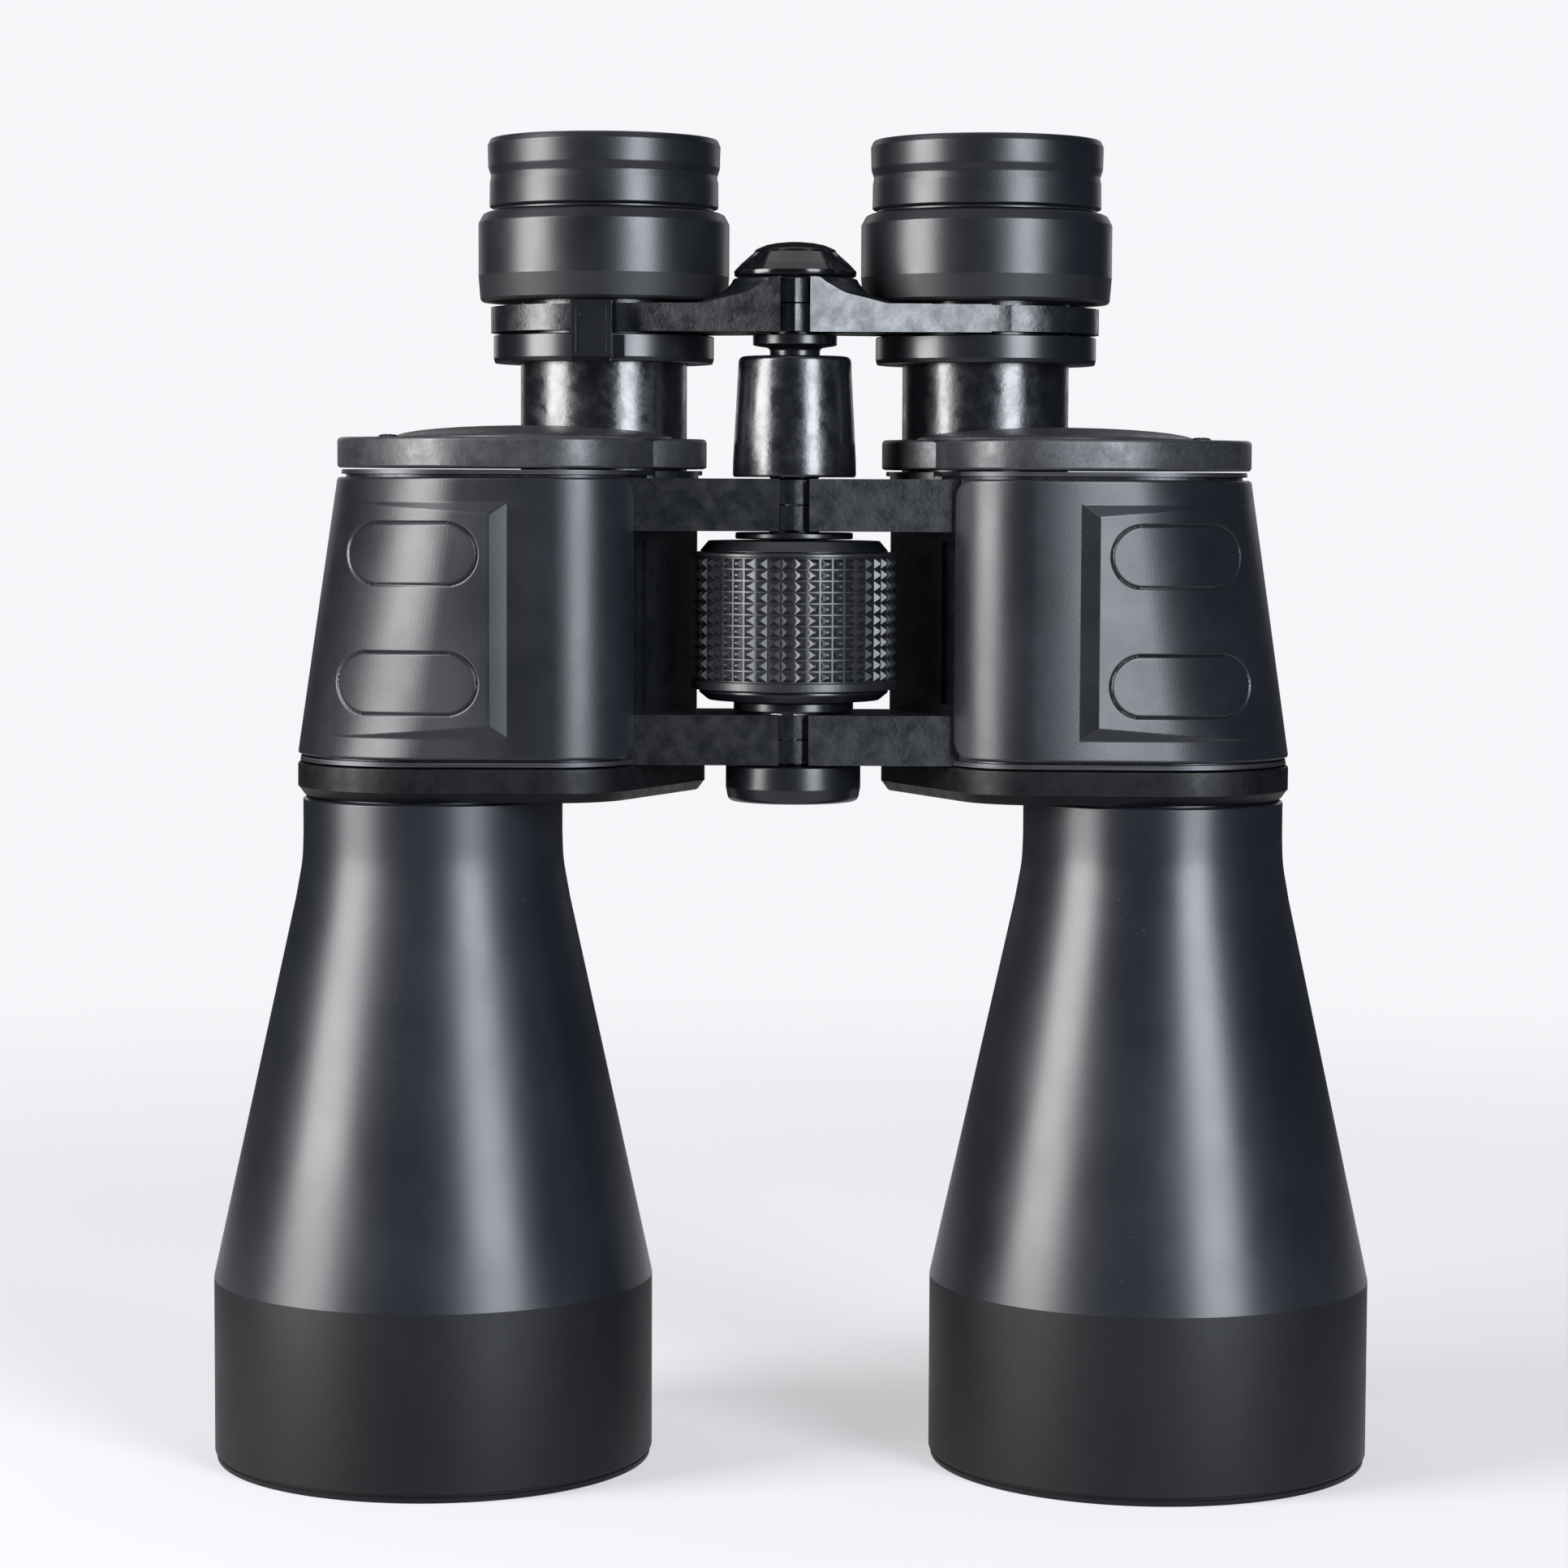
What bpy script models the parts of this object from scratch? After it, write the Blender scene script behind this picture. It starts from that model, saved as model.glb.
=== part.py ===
"""Large centre-focus zoom binoculars of the Porro-prism kind, standing on their objectives.

X runs across the two barrels, Y from the thumb side (-Y) to the far side and Z up along
the optical axes.  The origin is on the table, below the central hinge.
All driving dimensions are in millimetres; the mesh helpers convert them to metres.
"""
import math

import bmesh
import bpy
from mathutils import Vector

MM = 0.001
GAP = 0.3
LEFT = -1
RIGHT = 1
SIDES = {"L": LEFT, "R": RIGHT}

# Facets of a full turn
FINE = 24
MEDIUM = 20
SMALL = 12
CORNER_STEPS = 4

# Optical layout of one side (x is mirrored for the left side)
OBJECTIVE_X = 66.3
EYEPIECE_X = 35.4
EYEPIECE_Y = 10.7

# Objective barrel
BARREL_R = 40.5
BARREL_WALL = 2.3
BARREL_STRAIGHT_Z = 33.9
BARREL_CONE_Z = 104.0
BARREL_CONE_R = 25.0
NECK_R = 23.8
NECK_Z = 113.0
SPIGOT_R = 21.5
SPIGOT_Z = 129.0
LENS_R = 35.0
LENS_CELL_Z = 12.0
LENS_CELL_H = 14.0
GLASS_THICK = 5.2

# Prism housing: bottom and top outlines differ only at their outer end
LOWER_COVER_Z = (122.9, 129.1)
HOUSING_Z = (129.4, 182.5)
SKIN_Z = (130.6, 181.1)
UPPER_COVER_Z = (182.8, 188.3)
DOME_Z = 190.7
DOME_CENTRE = (48.0, 2.5)
DOME_HALF = (25.6, 19.3)
COLLAR_R = 19.1
OUTER_X_LOW = 91.0
OUTER_X_HIGH = 83.6
FRONT_Y = -24.8
BACK_Y = 31.6
SKIN_THICK = 1.2
HOUSING_INSET = SKIN_THICK + GAP
HOUSING_WALL = 2.1
SKIN_END_Y = (-13.2, 24.0)
BOSS_R = 17.6
BOSS_Z = 174.7
GUIDE_BORE_Z = 175.3

# Screws that hold the eyepiece cover
SCREW_X = 73.5
SCREW_Y = (-10.0, 10.0)
SCREW_HEAD_R = 2.1
SCREW_SEAT_Z = 186.8

# Prisms and their shelf
PRISM_R = 8.0
SHELF_Z = (155.2, 156.8)

# Central hinge
LUG_FRONT_Y = -11.7
LUG_BACK_Y = 11.7
SLOT_X = 2.7
SLOT_BACK_X = 5.8
UPPER_LUG_Z = (171.6, 181.1)
LOWER_LUG_Z = (129.2, 138.3)
KNUCKLE_R = 9.5
AXLE_R = 7.0
AXLE_BORE_R = 5.1
SLEEVE_Z = (181.4, 203.4)
SLEEVE_R = (11.3, 10.2)
BUSH_R = 5.1
SOCKET_R = 3.3
CAP_R = 12.4
CAP_Z = (122.0, 128.8)

# Focus wheel and screw
WHEEL_Z = (140.7, 169.8)
WHEEL_R = 18.85
WHEEL_CORE_R = 15.0
SCREW_R = 4.6
SCREW_Z = (146.0, 217.0)
SCREW_COLLAR_R = 7.7
SCREW_COLLAR_Z = (205.3, 207.3)

# Eyepiece bridge
BRIDGE_Z = (207.6, 212.7)
HUB_TOP_Z = 217.5
HUB_R = 11.3
BRIDGE_FRONT_Y = -10.4
BRIDGE_RING_R = 20.9
BRIDGE_KNUCKLE_R = 8.6
BRIDGE_CAP_Z = (217.8, 224.2)
BRIDGE_CAP_R = 11.2

# Eyepiece stack
TUBE_R = 15.4
TUBE_WALL = 1.9
TUBE_Z = (177.3, 226.0)
TUBE_CLEARANCE = 0.35
ZOOM_RING_R = 20.4
ZOOM_RING_Z = (202.2, 207.3)
LEVER_WIDTH = 7.4
LEVER_R = 24.6
LEVER_TOP_Z = 213.0
LEVER_ANGLE = -93.0
OCULAR_R = 23.2
OCULAR_Z = (213.5, 229.9)
OCULAR_LIP_R = 12.0
EYECUP_R = 21.5
EYECUP_TOP_Z = 243.4
EYECUP_INNER_R = 17.6
EYE_LENS_Z = 217.0
FIELD_LENS_Z = 196.0
ZOOM_GROUP_Z = 178.5

# Joint axes of the moving bodies
BODY_ORIGINS = {
    "left_body": (0.0, 0.0, 0.0),
    "right_body": (0.0, 0.0, 0.0),
    "focus_wheel": (0.0, 0.0, 155.0),
    "focus_carriage": (0.0, 0.0, 207.0),
    "right_bridge": (0.0, 0.0, 207.0),
    "zoom_left": (-EYEPIECE_X, EYEPIECE_Y, 204.0),
    "zoom_right": (EYEPIECE_X, EYEPIECE_Y, 204.0),
    "zoom_group_left": (-EYEPIECE_X, EYEPIECE_Y, ZOOM_GROUP_Z),
    "zoom_group_right": (EYEPIECE_X, EYEPIECE_Y, ZOOM_GROUP_Z),
    "diopter_head": (EYEPIECE_X, EYEPIECE_Y, 220.0),
    "diopter_lens": (EYEPIECE_X, EYEPIECE_Y, EYE_LENS_Z),
    "tripod_plug": (0.0, 0.0, 125.0),
}

# colour, roughness, metallic
FINISHES = {
    "satin_black": ((0.020, 0.021, 0.025), 0.38, 0.0),
    "rubber_skin": ((0.024, 0.025, 0.030), 0.48, 0.0),
    "cast_black": ((0.026, 0.027, 0.031), 0.55, 0.3),
    "gloss_black": ((0.012, 0.012, 0.014), 0.22, 0.0),
    "eyecup_rubber": ((0.022, 0.022, 0.025), 0.60, 0.0),
    "steel": ((0.55, 0.56, 0.58), 0.28, 1.0),
    "brass": ((0.70, 0.52, 0.24), 0.30, 1.0),
    "blackened_metal": ((0.030, 0.031, 0.034), 0.40, 0.9),
    "coated_glass": ((0.75, 0.82, 0.86), 0.03, 0.0),
    "prism_glass": ((0.86, 0.90, 0.88), 0.05, 0.0),
}


# ---------------------------------------------------------------- scene helpers

def clear_scene():
    """Remove every object so that the script can be run again."""
    for old in list(bpy.data.objects):
        bpy.data.objects.remove(old, do_unlink=True)


def make_materials():
    """One Principled material for each finish."""
    made = {}
    for name, (colour, roughness, metallic) in FINISHES.items():
        material = bpy.data.materials.new(name)
        material.use_nodes = True
        shader = material.node_tree.nodes["Principled BSDF"]
        shader.inputs["Base Color"].default_value = (*colour, 1.0)
        shader.inputs["Roughness"].default_value = roughness
        shader.inputs["Metallic"].default_value = metallic
        made[name] = material
    return made


def make_bodies():
    """An empty on the joint axis of each rigid body."""
    empties = {}
    for name, origin in BODY_ORIGINS.items():
        empty = bpy.data.objects.new("body_" + name, None)
        empty.empty_display_size = 0.01
        empty.location = Vector(origin) * MM
        bpy.context.scene.collection.objects.link(empty)
        empties[name] = empty
    return empties


def add_object(name, bm, origin=(0.0, 0.0, 0.0)):
    """Turn a bmesh in millimetres into an object whose origin is at the given point."""
    bmesh.ops.translate(bm, verts=bm.verts, vec=-Vector(origin))
    bmesh.ops.scale(bm, verts=bm.verts, vec=(MM, MM, MM))
    bmesh.ops.recalc_face_normals(bm, faces=bm.faces)
    mesh = bpy.data.meshes.new(name)
    bm.to_mesh(mesh)
    bm.free()
    obj = bpy.data.objects.new(name, mesh)
    obj.location = Vector(origin) * MM
    bpy.context.scene.collection.objects.link(obj)
    return obj


def finish_part(obj, body, finish):
    """Give a part its material, smooth shading and parent body."""
    obj.data.materials.append(MATERIALS[finish])
    obj.data.shade_smooth()
    obj.data.set_sharp_from_angle(angle=math.radians(32.0))
    empty = BODIES[body]
    obj.parent = empty
    obj.location = obj.location - empty.location
    return obj


def combine(target, tool, operation):
    """Live Boolean with a hidden wire tool object."""
    tool.hide_render = True
    tool.display_type = "WIRE"
    modifier = target.modifiers.new(tool.name, "BOOLEAN")
    modifier.operation = operation
    modifier.object = tool
    modifier.solver = "EXACT"


def cut(target, *tools):
    """Remove each tool's volume from the target."""
    for tool in tools:
        combine(target, tool, "DIFFERENCE")


def fuse(target, *tools):
    """Add each tool's volume to the target."""
    for tool in tools:
        combine(target, tool, "UNION")


# ---------------------------------------------------------------- shape helpers

def turned_mesh(profile, centre, segments):
    """Revolve a closed (radius, z) profile; points with radius 0 lie on the axis."""
    bm = bmesh.new()
    rings = []
    for radius, z in profile:
        if radius == 0.0:
            rings.append([bm.verts.new((centre[0], centre[1], z))])
            continue
        ring = []
        for step in range(segments):
            angle = 2.0 * math.pi * step / segments
            x = centre[0] + radius * math.cos(angle)
            y = centre[1] + radius * math.sin(angle)
            ring.append(bm.verts.new((x, y, z)))
        rings.append(ring)
    for index, ring in enumerate(rings):
        bridge_rings(bm, ring, rings[(index + 1) % len(rings)], segments)
    return bm


def bridge_rings(bm, first, second, segments):
    """Faces between two rings, either of which may be a single point."""
    if len(first) == 1 and len(second) == 1:
        return
    for step in range(segments):
        after = (step + 1) % segments
        if len(first) == 1:
            corners = (first[0], second[step], second[after])
        elif len(second) == 1:
            corners = (first[step], second[0], first[after])
        else:
            corners = (first[step], second[step], second[after], first[after])
        bm.faces.new(corners)


def turned(name, profile, centre=(0.0, 0.0), segments=MEDIUM):
    """A turned solid, with its origin on its own axis."""
    return add_object(name, turned_mesh(profile, centre, segments), (*centre, profile[0][1]))


def rod(name, radius, z_low, z_high, centre=(0.0, 0.0), segments=MEDIUM):
    """A plain cylinder."""
    profile = [(0.0, z_low), (radius, z_low), (radius, z_high), (0.0, z_high)]
    return turned(name, profile, centre, segments)


def ring(name, inner, outer, z_low, z_high, centre=(0.0, 0.0), segments=MEDIUM):
    """A plain tube or washer."""
    profile = [(inner, z_low), (outer, z_low), (outer, z_high), (inner, z_high)]
    return turned(name, profile, centre, segments)


def stacked(name, levels, origin=(0.0, 0.0, 0.0)):
    """A solid skinned through outlines at rising heights; all have as many points."""
    bm = bmesh.new()
    loops = [[bm.verts.new((x, y, z)) for x, y in outline] for outline, z in levels]
    bm.faces.new(loops[0])
    bm.faces.new(loops[-1])
    count = len(loops[0])
    for low, high in zip(loops, loops[1:]):
        for step in range(count):
            after = (step + 1) % count
            bm.faces.new((low[step], low[after], high[after], high[step]))
    return add_object(name, bm, origin)


def plate(name, outline, z_low, z_high, origin=(0.0, 0.0, 0.0)):
    """A flat plate of one outline."""
    return stacked(name, [(outline, z_low), (outline, z_high)], origin)


def round_corners(corners, steps=CORNER_STEPS):
    """Replace each (x, y, radius) corner of a polygon by an arc."""
    points = []
    count = len(corners)
    for index, (x, y, radius) in enumerate(corners):
        here = Vector((x, y))
        before = (Vector(corners[index - 1][:2]) - here).normalized()
        after = (Vector(corners[(index + 1) % count][:2]) - here).normalized()
        half = before.angle(after) / 2.0
        centre = here + (before + after).normalized() * (radius / math.sin(half))
        start = here + before * (radius / math.tan(half)) - centre
        end = here + after * (radius / math.tan(half)) - centre
        sweep = math.copysign(math.pi - 2.0 * half, start.x * end.y - start.y * end.x)
        for step in range(steps + 1):
            angle = sweep * step / steps
            cosine, sine = math.cos(angle), math.sin(angle)
            points.append((centre.x + start.x * cosine - start.y * sine,
                           centre.y + start.x * sine + start.y * cosine))
    return points


def inset_corners(corners, distance):
    """Move every side of a convex polygon inwards and shrink its corner radii."""
    middle = Vector((sum(c[0] for c in corners), sum(c[1] for c in corners))) / len(corners)
    count = len(corners)
    lines = []
    for index in range(count):
        start = Vector(corners[index][:2])
        along = (Vector(corners[(index + 1) % count][:2]) - start).normalized()
        normal = Vector((-along.y, along.x))
        if normal.dot(middle - start) < 0.0:
            normal = -normal
        lines.append((start + normal * distance, along))
    moved = []
    for index in range(count):
        (p, u), (q, v) = lines[index - 1], lines[index]
        travel = ((q - p).x * v.y - (q - p).y * v.x) / (u.x * v.y - u.y * v.x)
        corner = p + u * travel
        moved.append((corner.x, corner.y, max(corners[index][2] - distance, 0.4)))
    return moved


def body_outline(side, outer_x, inset=0.0):
    """Plan outline of a prism housing; outer_x is the reach of its outer end."""
    corners = [
        (outer_x, FRONT_Y, 24.0),
        (33.5, -22.6, 16.0),
        (16.3, 14.5, 4.0),
        (21.5, BACK_Y, 8.0),
        (outer_x, 25.2, 24.0),
    ]
    points = round_corners(inset_corners(corners, inset))
    return [(side * x, y) for x, y in points]


def outer_reach(z):
    """The housing's outer end leans inwards with height."""
    share = (z - SKIN_Z[0]) / (SKIN_Z[1] - SKIN_Z[0])
    return OUTER_X_LOW + (OUTER_X_HIGH - OUTER_X_LOW) * share


def tapered_block(name, side, z_low, z_high, inset):
    """A block that follows the housing's outline and lean."""
    low = body_outline(side, outer_reach(z_low), inset)
    high = body_outline(side, outer_reach(z_high), inset)
    return stacked(name, [(low, z_low), (high, z_high)])


# ---------------------------------------------------------------- prism housings

def lug_outline(side):
    """Plan of a hinge lug, from the slot to inside the housing's slanted wall."""
    points = [(SLOT_X, LUG_FRONT_Y), (31.2, LUG_FRONT_Y), (20.5, LUG_BACK_Y),
              (SLOT_BACK_X, LUG_BACK_Y), (SLOT_X, 1.0)]
    return [(side * x, y) for x, y in points]


def add_lug(housing, tag, side, level, z_low, z_high):
    """Fuse one lug with its half-height knuckle and clear the other body's knuckle."""
    middle = (z_low + z_high) / 2.0
    owns_top = (side == LEFT) == (level == "upper")
    own = (middle + 0.15, z_high - 0.2) if owns_top else (z_low + 0.2, middle - 0.15)
    other = (z_low - 1.0, middle - 0.15) if owns_top else (middle + 0.15, z_high + 1.0)
    name = f"tool_lug_{level}_{tag}"
    fuse(housing, plate(name, lug_outline(side), z_low, z_high))
    cut(housing, rod(name + "_pocket", KNUCKLE_R + GAP, *other))
    fuse(housing, rod(name + "_knuckle", KNUCKLE_R, *own))
    cut(housing, rod(name + "_bore", AXLE_R + GAP, z_low - 1.0, z_high + 1.0))


def make_housing(tag, side, body):
    """Cast prism housing: an open tapered shell with hinge lugs and eyepiece boss."""
    eyepiece = (side * EYEPIECE_X, EYEPIECE_Y)
    housing = tapered_block(f"prism_housing_{tag}", side, *HOUSING_Z, HOUSING_INSET)
    hollow = tapered_block(f"tool_hollow_{tag}", side, HOUSING_Z[0] - 2.0, HOUSING_Z[1] + 2.0,
                           HOUSING_INSET + HOUSING_WALL)
    cut(housing, hollow)
    boss = rod(f"tool_boss_{tag}", BOSS_R, BOSS_Z, HOUSING_Z[1] - 0.1, eyepiece, FINE)
    fuse(housing, boss)
    add_lug(housing, tag, side, "upper", *UPPER_LUG_Z)
    add_lug(housing, tag, side, "lower", *LOWER_LUG_Z)
    bore = TUBE_R + TUBE_CLEARANCE
    guide = [(0.0, BOSS_Z - 3.0), (11.0, BOSS_Z - 3.0), (11.0, GUIDE_BORE_Z),
             (bore, GUIDE_BORE_Z), (bore, HOUSING_Z[1] + 2.0), (0.0, HOUSING_Z[1] + 2.0)]
    cut(housing, turned(f"tool_guide_{tag}", guide, eyepiece, FINE))
    finish_part(housing, body, "cast_black")


def make_skin(tag, side, body):
    """Rubber armour wrapped round the outside of a housing, open at the slanted wall."""
    skin = tapered_block(f"body_skin_{tag}", side, *SKIN_Z, 0.0)
    core = tapered_block(f"tool_skin_core_{tag}", side, SKIN_Z[0] - 2.0, SKIN_Z[1] + 2.0,
                         SKIN_THICK)
    front, back = SKIN_END_Y
    opening = [(0.0, front), (33.0, front), (25.0, back), (0.0, back)]
    outline = [(side * x, y) for x, y in opening]
    window = plate(f"tool_skin_window_{tag}", outline, SKIN_Z[0] - 5.0, SKIN_Z[1] + 5.0)
    cut(skin, core, window)
    finish_part(skin, body, "rubber_skin")


def dome_outline(side, share):
    """Plan ellipse of the eyepiece cover's dome at a share of its full size."""
    points = []
    for step in range(FINE):
        angle = 2.0 * math.pi * step / FINE
        points.append((side * (DOME_CENTRE[0] + DOME_HALF[0] * share * math.cos(angle)),
                       DOME_CENTRE[1] + DOME_HALF[1] * share * math.sin(angle)))
    return points


def make_covers(tag, side, body):
    """Eyepiece-side cover with its low dome, and objective-side cover."""
    eyepiece = (side * EYEPIECE_X, EYEPIECE_Y)
    low, high = UPPER_COVER_Z
    shape = [(low, 0.3), (low + 0.4, 0.0), (high - 0.6, 0.0), (high, 0.7)]
    levels = [(body_outline(side, OUTER_X_HIGH, inset), z) for z, inset in shape]
    cover = stacked(f"eyepiece_cover_{tag}", levels)
    rise = DOME_Z - high
    shares = ((-0.3, 1.0), (0.0, 1.0), (0.4, 0.85), (0.75, 0.6), (1.0, 0.25))
    fuse(cover, stacked(f"tool_dome_{tag}", [(dome_outline(side, share), high + rise * lift)
                                             for lift, share in shares]))
    collar = turned(f"tool_collar_{tag}", [(0.0, low + 0.1), (COLLAR_R, low + 0.1),
                                           (COLLAR_R, high - 0.6), (COLLAR_R - 0.6, high + 0.05),
                                           (0.0, high + 0.05)], eyepiece, FINE)
    fuse(cover, collar)
    cut(cover, rod(f"tool_cover_bore_{tag}", TUBE_R + TUBE_CLEARANCE, low - 2.0, DOME_Z + 2.0,
                   eyepiece, FINE))
    for index, y in enumerate(SCREW_Y):
        cut(cover, rod(f"tool_screw_seat_{tag}{index}", SCREW_HEAD_R + GAP, SCREW_SEAT_Z,
                       DOME_Z + 2.0, (side * SCREW_X, y), SMALL))
    finish_part(cover, body, "cast_black")

    low, high = LOWER_COVER_Z
    shape = [(low, 1.0), (low + 0.9, 0.0), (high - 0.2, 0.0), (high, 0.3)]
    levels = [(body_outline(side, OUTER_X_LOW, inset), z) for z, inset in shape]
    cover = stacked(f"objective_cover_{tag}", levels)
    cut(cover, rod(f"tool_cover_seat_{tag}", SPIGOT_R + GAP, low - 2.0, high + 2.0,
                   (side * OBJECTIVE_X, 0.0), FINE))
    finish_part(cover, body, "cast_black")


def prism_points(start, end):
    """Plan points of a prism: straight sides with half-round ends about two light paths."""
    along = (end - start).normalized()
    points = []
    for centre, turn in ((end, -90.0), (start, 90.0)):
        for step in range(9):
            angle = math.radians(turn + 22.5 * step)
            offset = Vector((along.x * math.cos(angle) - along.y * math.sin(angle),
                             along.x * math.sin(angle) + along.y * math.cos(angle)))
            points.append(centre + offset * PRISM_R)
    return points


def make_prism(name, start, end, base_z, up, body):
    """Right-angle prism on a flat long face, its roof at 45 degrees and ends rounded."""
    along = (end - start).normalized()
    across = Vector((-along.y, along.x))
    middle = (start + end) / 2.0
    peak = (end - start).length / 2.0 + PRISM_R + 0.8
    plan = prism_points(start, end)
    plan += [middle + across * PRISM_R, middle - across * PRISM_R]
    bm = bmesh.new()
    for point in plan:
        height = peak - abs((point - middle).dot(along))
        bm.verts.new((point.x, point.y, base_z))
        bm.verts.new((point.x, point.y, base_z + up * height))
    hull = bmesh.ops.convex_hull(bm, input=bm.verts)
    spare = [item for item in hull["geom_interior"] if isinstance(item, bmesh.types.BMVert)]
    bmesh.ops.delete(bm, geom=spare, context="VERTS")
    finish_part(add_object(name, bm, (middle.x, middle.y, base_z)), body, "prism_glass")


def make_prism_set(tag, side, body):
    """Two crossed prisms on either face of a drilled shelf."""
    objective = Vector((side * OBJECTIVE_X, 0.0))
    eyepiece = Vector((side * EYEPIECE_X, EYEPIECE_Y))
    half = (eyepiece - objective) / 2.0
    turn = Vector((-half.y, half.x)) * -side
    fold = objective + half - turn
    shelf = plate(f"prism_shelf_{tag}", body_outline(side, outer_reach(SHELF_Z[1]),
                                                     HOUSING_INSET + HOUSING_WALL + 0.6), *SHELF_Z)
    for index, place in enumerate((objective, fold, eyepiece)):
        cut(shelf, rod(f"tool_shelf_hole_{tag}{index}", PRISM_R - 1.0, SHELF_Z[0] - 1.0,
                       SHELF_Z[1] + 1.0, (place.x, place.y), SMALL))
    finish_part(shelf, body, "blackened_metal")
    make_prism(f"prism_upper_{tag}", objective, fold, SHELF_Z[1] + GAP, 1.0, body)
    make_prism(f"prism_lower_{tag}", fold, eyepiece, SHELF_Z[0] - GAP, -1.0, body)


def make_cover_screws(tag, side, body):
    """Two small domed screws near the outer end of the eyepiece cover."""
    base = SCREW_SEAT_Z + GAP
    rim = base + 1.3
    profile = [(0.0, base), (SCREW_HEAD_R, base), (SCREW_HEAD_R, rim), (SCREW_HEAD_R - 0.9, rim + 0.5),
               (0.0, rim + 0.5)]
    for index, y in enumerate(SCREW_Y, start=1):
        screw = turned(f"cover_screw_{tag}{index}", profile, (side * SCREW_X, y), SMALL)
        finish_part(screw, body, "blackened_metal")


# ---------------------------------------------------------------- objective barrels

def make_barrel(tag, side, body):
    """Objective barrel: straight mouth, long cone, neck and the spigot in the cover."""
    inner = BARREL_R - BARREL_WALL
    profile = [
        (inner, 0.0), (BARREL_R - 0.6, 0.0), (BARREL_R, 0.6),
        (BARREL_R, BARREL_STRAIGHT_Z - 1.5), (BARREL_R - 0.35, BARREL_STRAIGHT_Z + 1.5),
        (BARREL_CONE_R, BARREL_CONE_Z), (NECK_R + 0.35, BARREL_CONE_Z + 4.5), (NECK_R, NECK_Z),
        (NECK_R, LOWER_COVER_Z[0] - GAP), (SPIGOT_R, LOWER_COVER_Z[0] - GAP), (SPIGOT_R, SPIGOT_Z),
        (SPIGOT_R - 2.0, SPIGOT_Z), (SPIGOT_R - 2.0, NECK_Z),
        (BARREL_CONE_R - BARREL_WALL, BARREL_CONE_Z - 2.0), (inner, BARREL_STRAIGHT_Z),
    ]
    barrel = turned(f"objective_barrel_{tag}", profile, (side * OBJECTIVE_X, 0.0), 28)
    finish_part(barrel, body, "satin_black")


def make_objective(tag, side, body):
    """Cell, two lens elements and the threaded ring that holds them."""
    centre = (side * OBJECTIVE_X, 0.0)
    outer = BARREL_R - BARREL_WALL - 0.5
    low = LENS_CELL_Z
    high = low + LENS_CELL_H
    ledge = high - 2.0
    profile = [(LENS_R + GAP, low), (outer, low), (outer, high), (LENS_R - 2.0, high),
               (LENS_R - 2.0, ledge), (LENS_R + GAP, ledge)]
    finish_part(turned(f"objective_cell_{tag}", profile, centre, FINE), body, "blackened_metal")
    hold = ring(f"objective_ring_{tag}", LENS_R - 1.4, outer, low - 2.6, low - GAP, centre, FINE)
    finish_part(hold, body, "blackened_metal")
    edge = low + 1.2
    front = [(0.0, edge - 1.1), (18.0, edge - 0.6), (LENS_R, edge + 1.0),
             (LENS_R, edge + GLASS_THICK - 1.0), (18.0, edge + GLASS_THICK + 0.4),
             (0.0, edge + GLASS_THICK + 0.9)]
    finish_part(turned(f"objective_crown_lens_{tag}", front, centre, FINE), body, "coated_glass")
    rise = GLASS_THICK + GAP + 0.1
    back = [(0.0, edge + rise + 0.9), (18.0, edge + rise + 0.4), (LENS_R, edge + rise - 1.0),
            (LENS_R, ledge - GAP), (0.0, ledge - GAP)]
    finish_part(turned(f"objective_flint_lens_{tag}", back, centre, FINE), body, "coated_glass")


# ---------------------------------------------------------------- hinge and focus

def make_hinge():
    """Two-part hollow axle, focus sleeve, tripod bush and the plug over it."""
    low, high = LOWER_LUG_Z
    profile = [(0.0, high), (AXLE_R, high), (AXLE_R, low + 0.2), (BUSH_R + GAP, low + 0.2),
               (BUSH_R + GAP, high - 1.4), (0.0, high - 1.4)]
    finish_part(turned("hinge_axle_lower", profile), "left_body", "steel")
    upper = ring("hinge_axle_upper", AXLE_BORE_R, AXLE_R, UPPER_LUG_Z[0], UPPER_LUG_Z[1] - 0.1)
    finish_part(upper, "left_body", "steel")
    bush = ring("tripod_bush", SOCKET_R, BUSH_R, low + 0.3, high - 1.7)
    finish_part(bush, "left_body", "brass")
    base, top = SLEEVE_Z
    profile = [(AXLE_BORE_R, base), (SLEEVE_R[0], base), (SLEEVE_R[1] + 0.1, top - 1.0),
               (SLEEVE_R[1] - 0.9, top), (AXLE_BORE_R, top)]
    finish_part(turned("focus_sleeve", profile), "left_body", "satin_black")
    base, top = CAP_Z
    profile = [(0.0, base), (CAP_R - 1.8, base), (CAP_R - 0.5, base + 0.6), (CAP_R, base + 2.0),
               (CAP_R, top), (SOCKET_R - 0.4, top), (SOCKET_R - 0.4, top + 4.5), (0.0, top + 4.5)]
    finish_part(turned("tripod_cap", profile), "tripod_plug", "satin_black")


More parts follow.
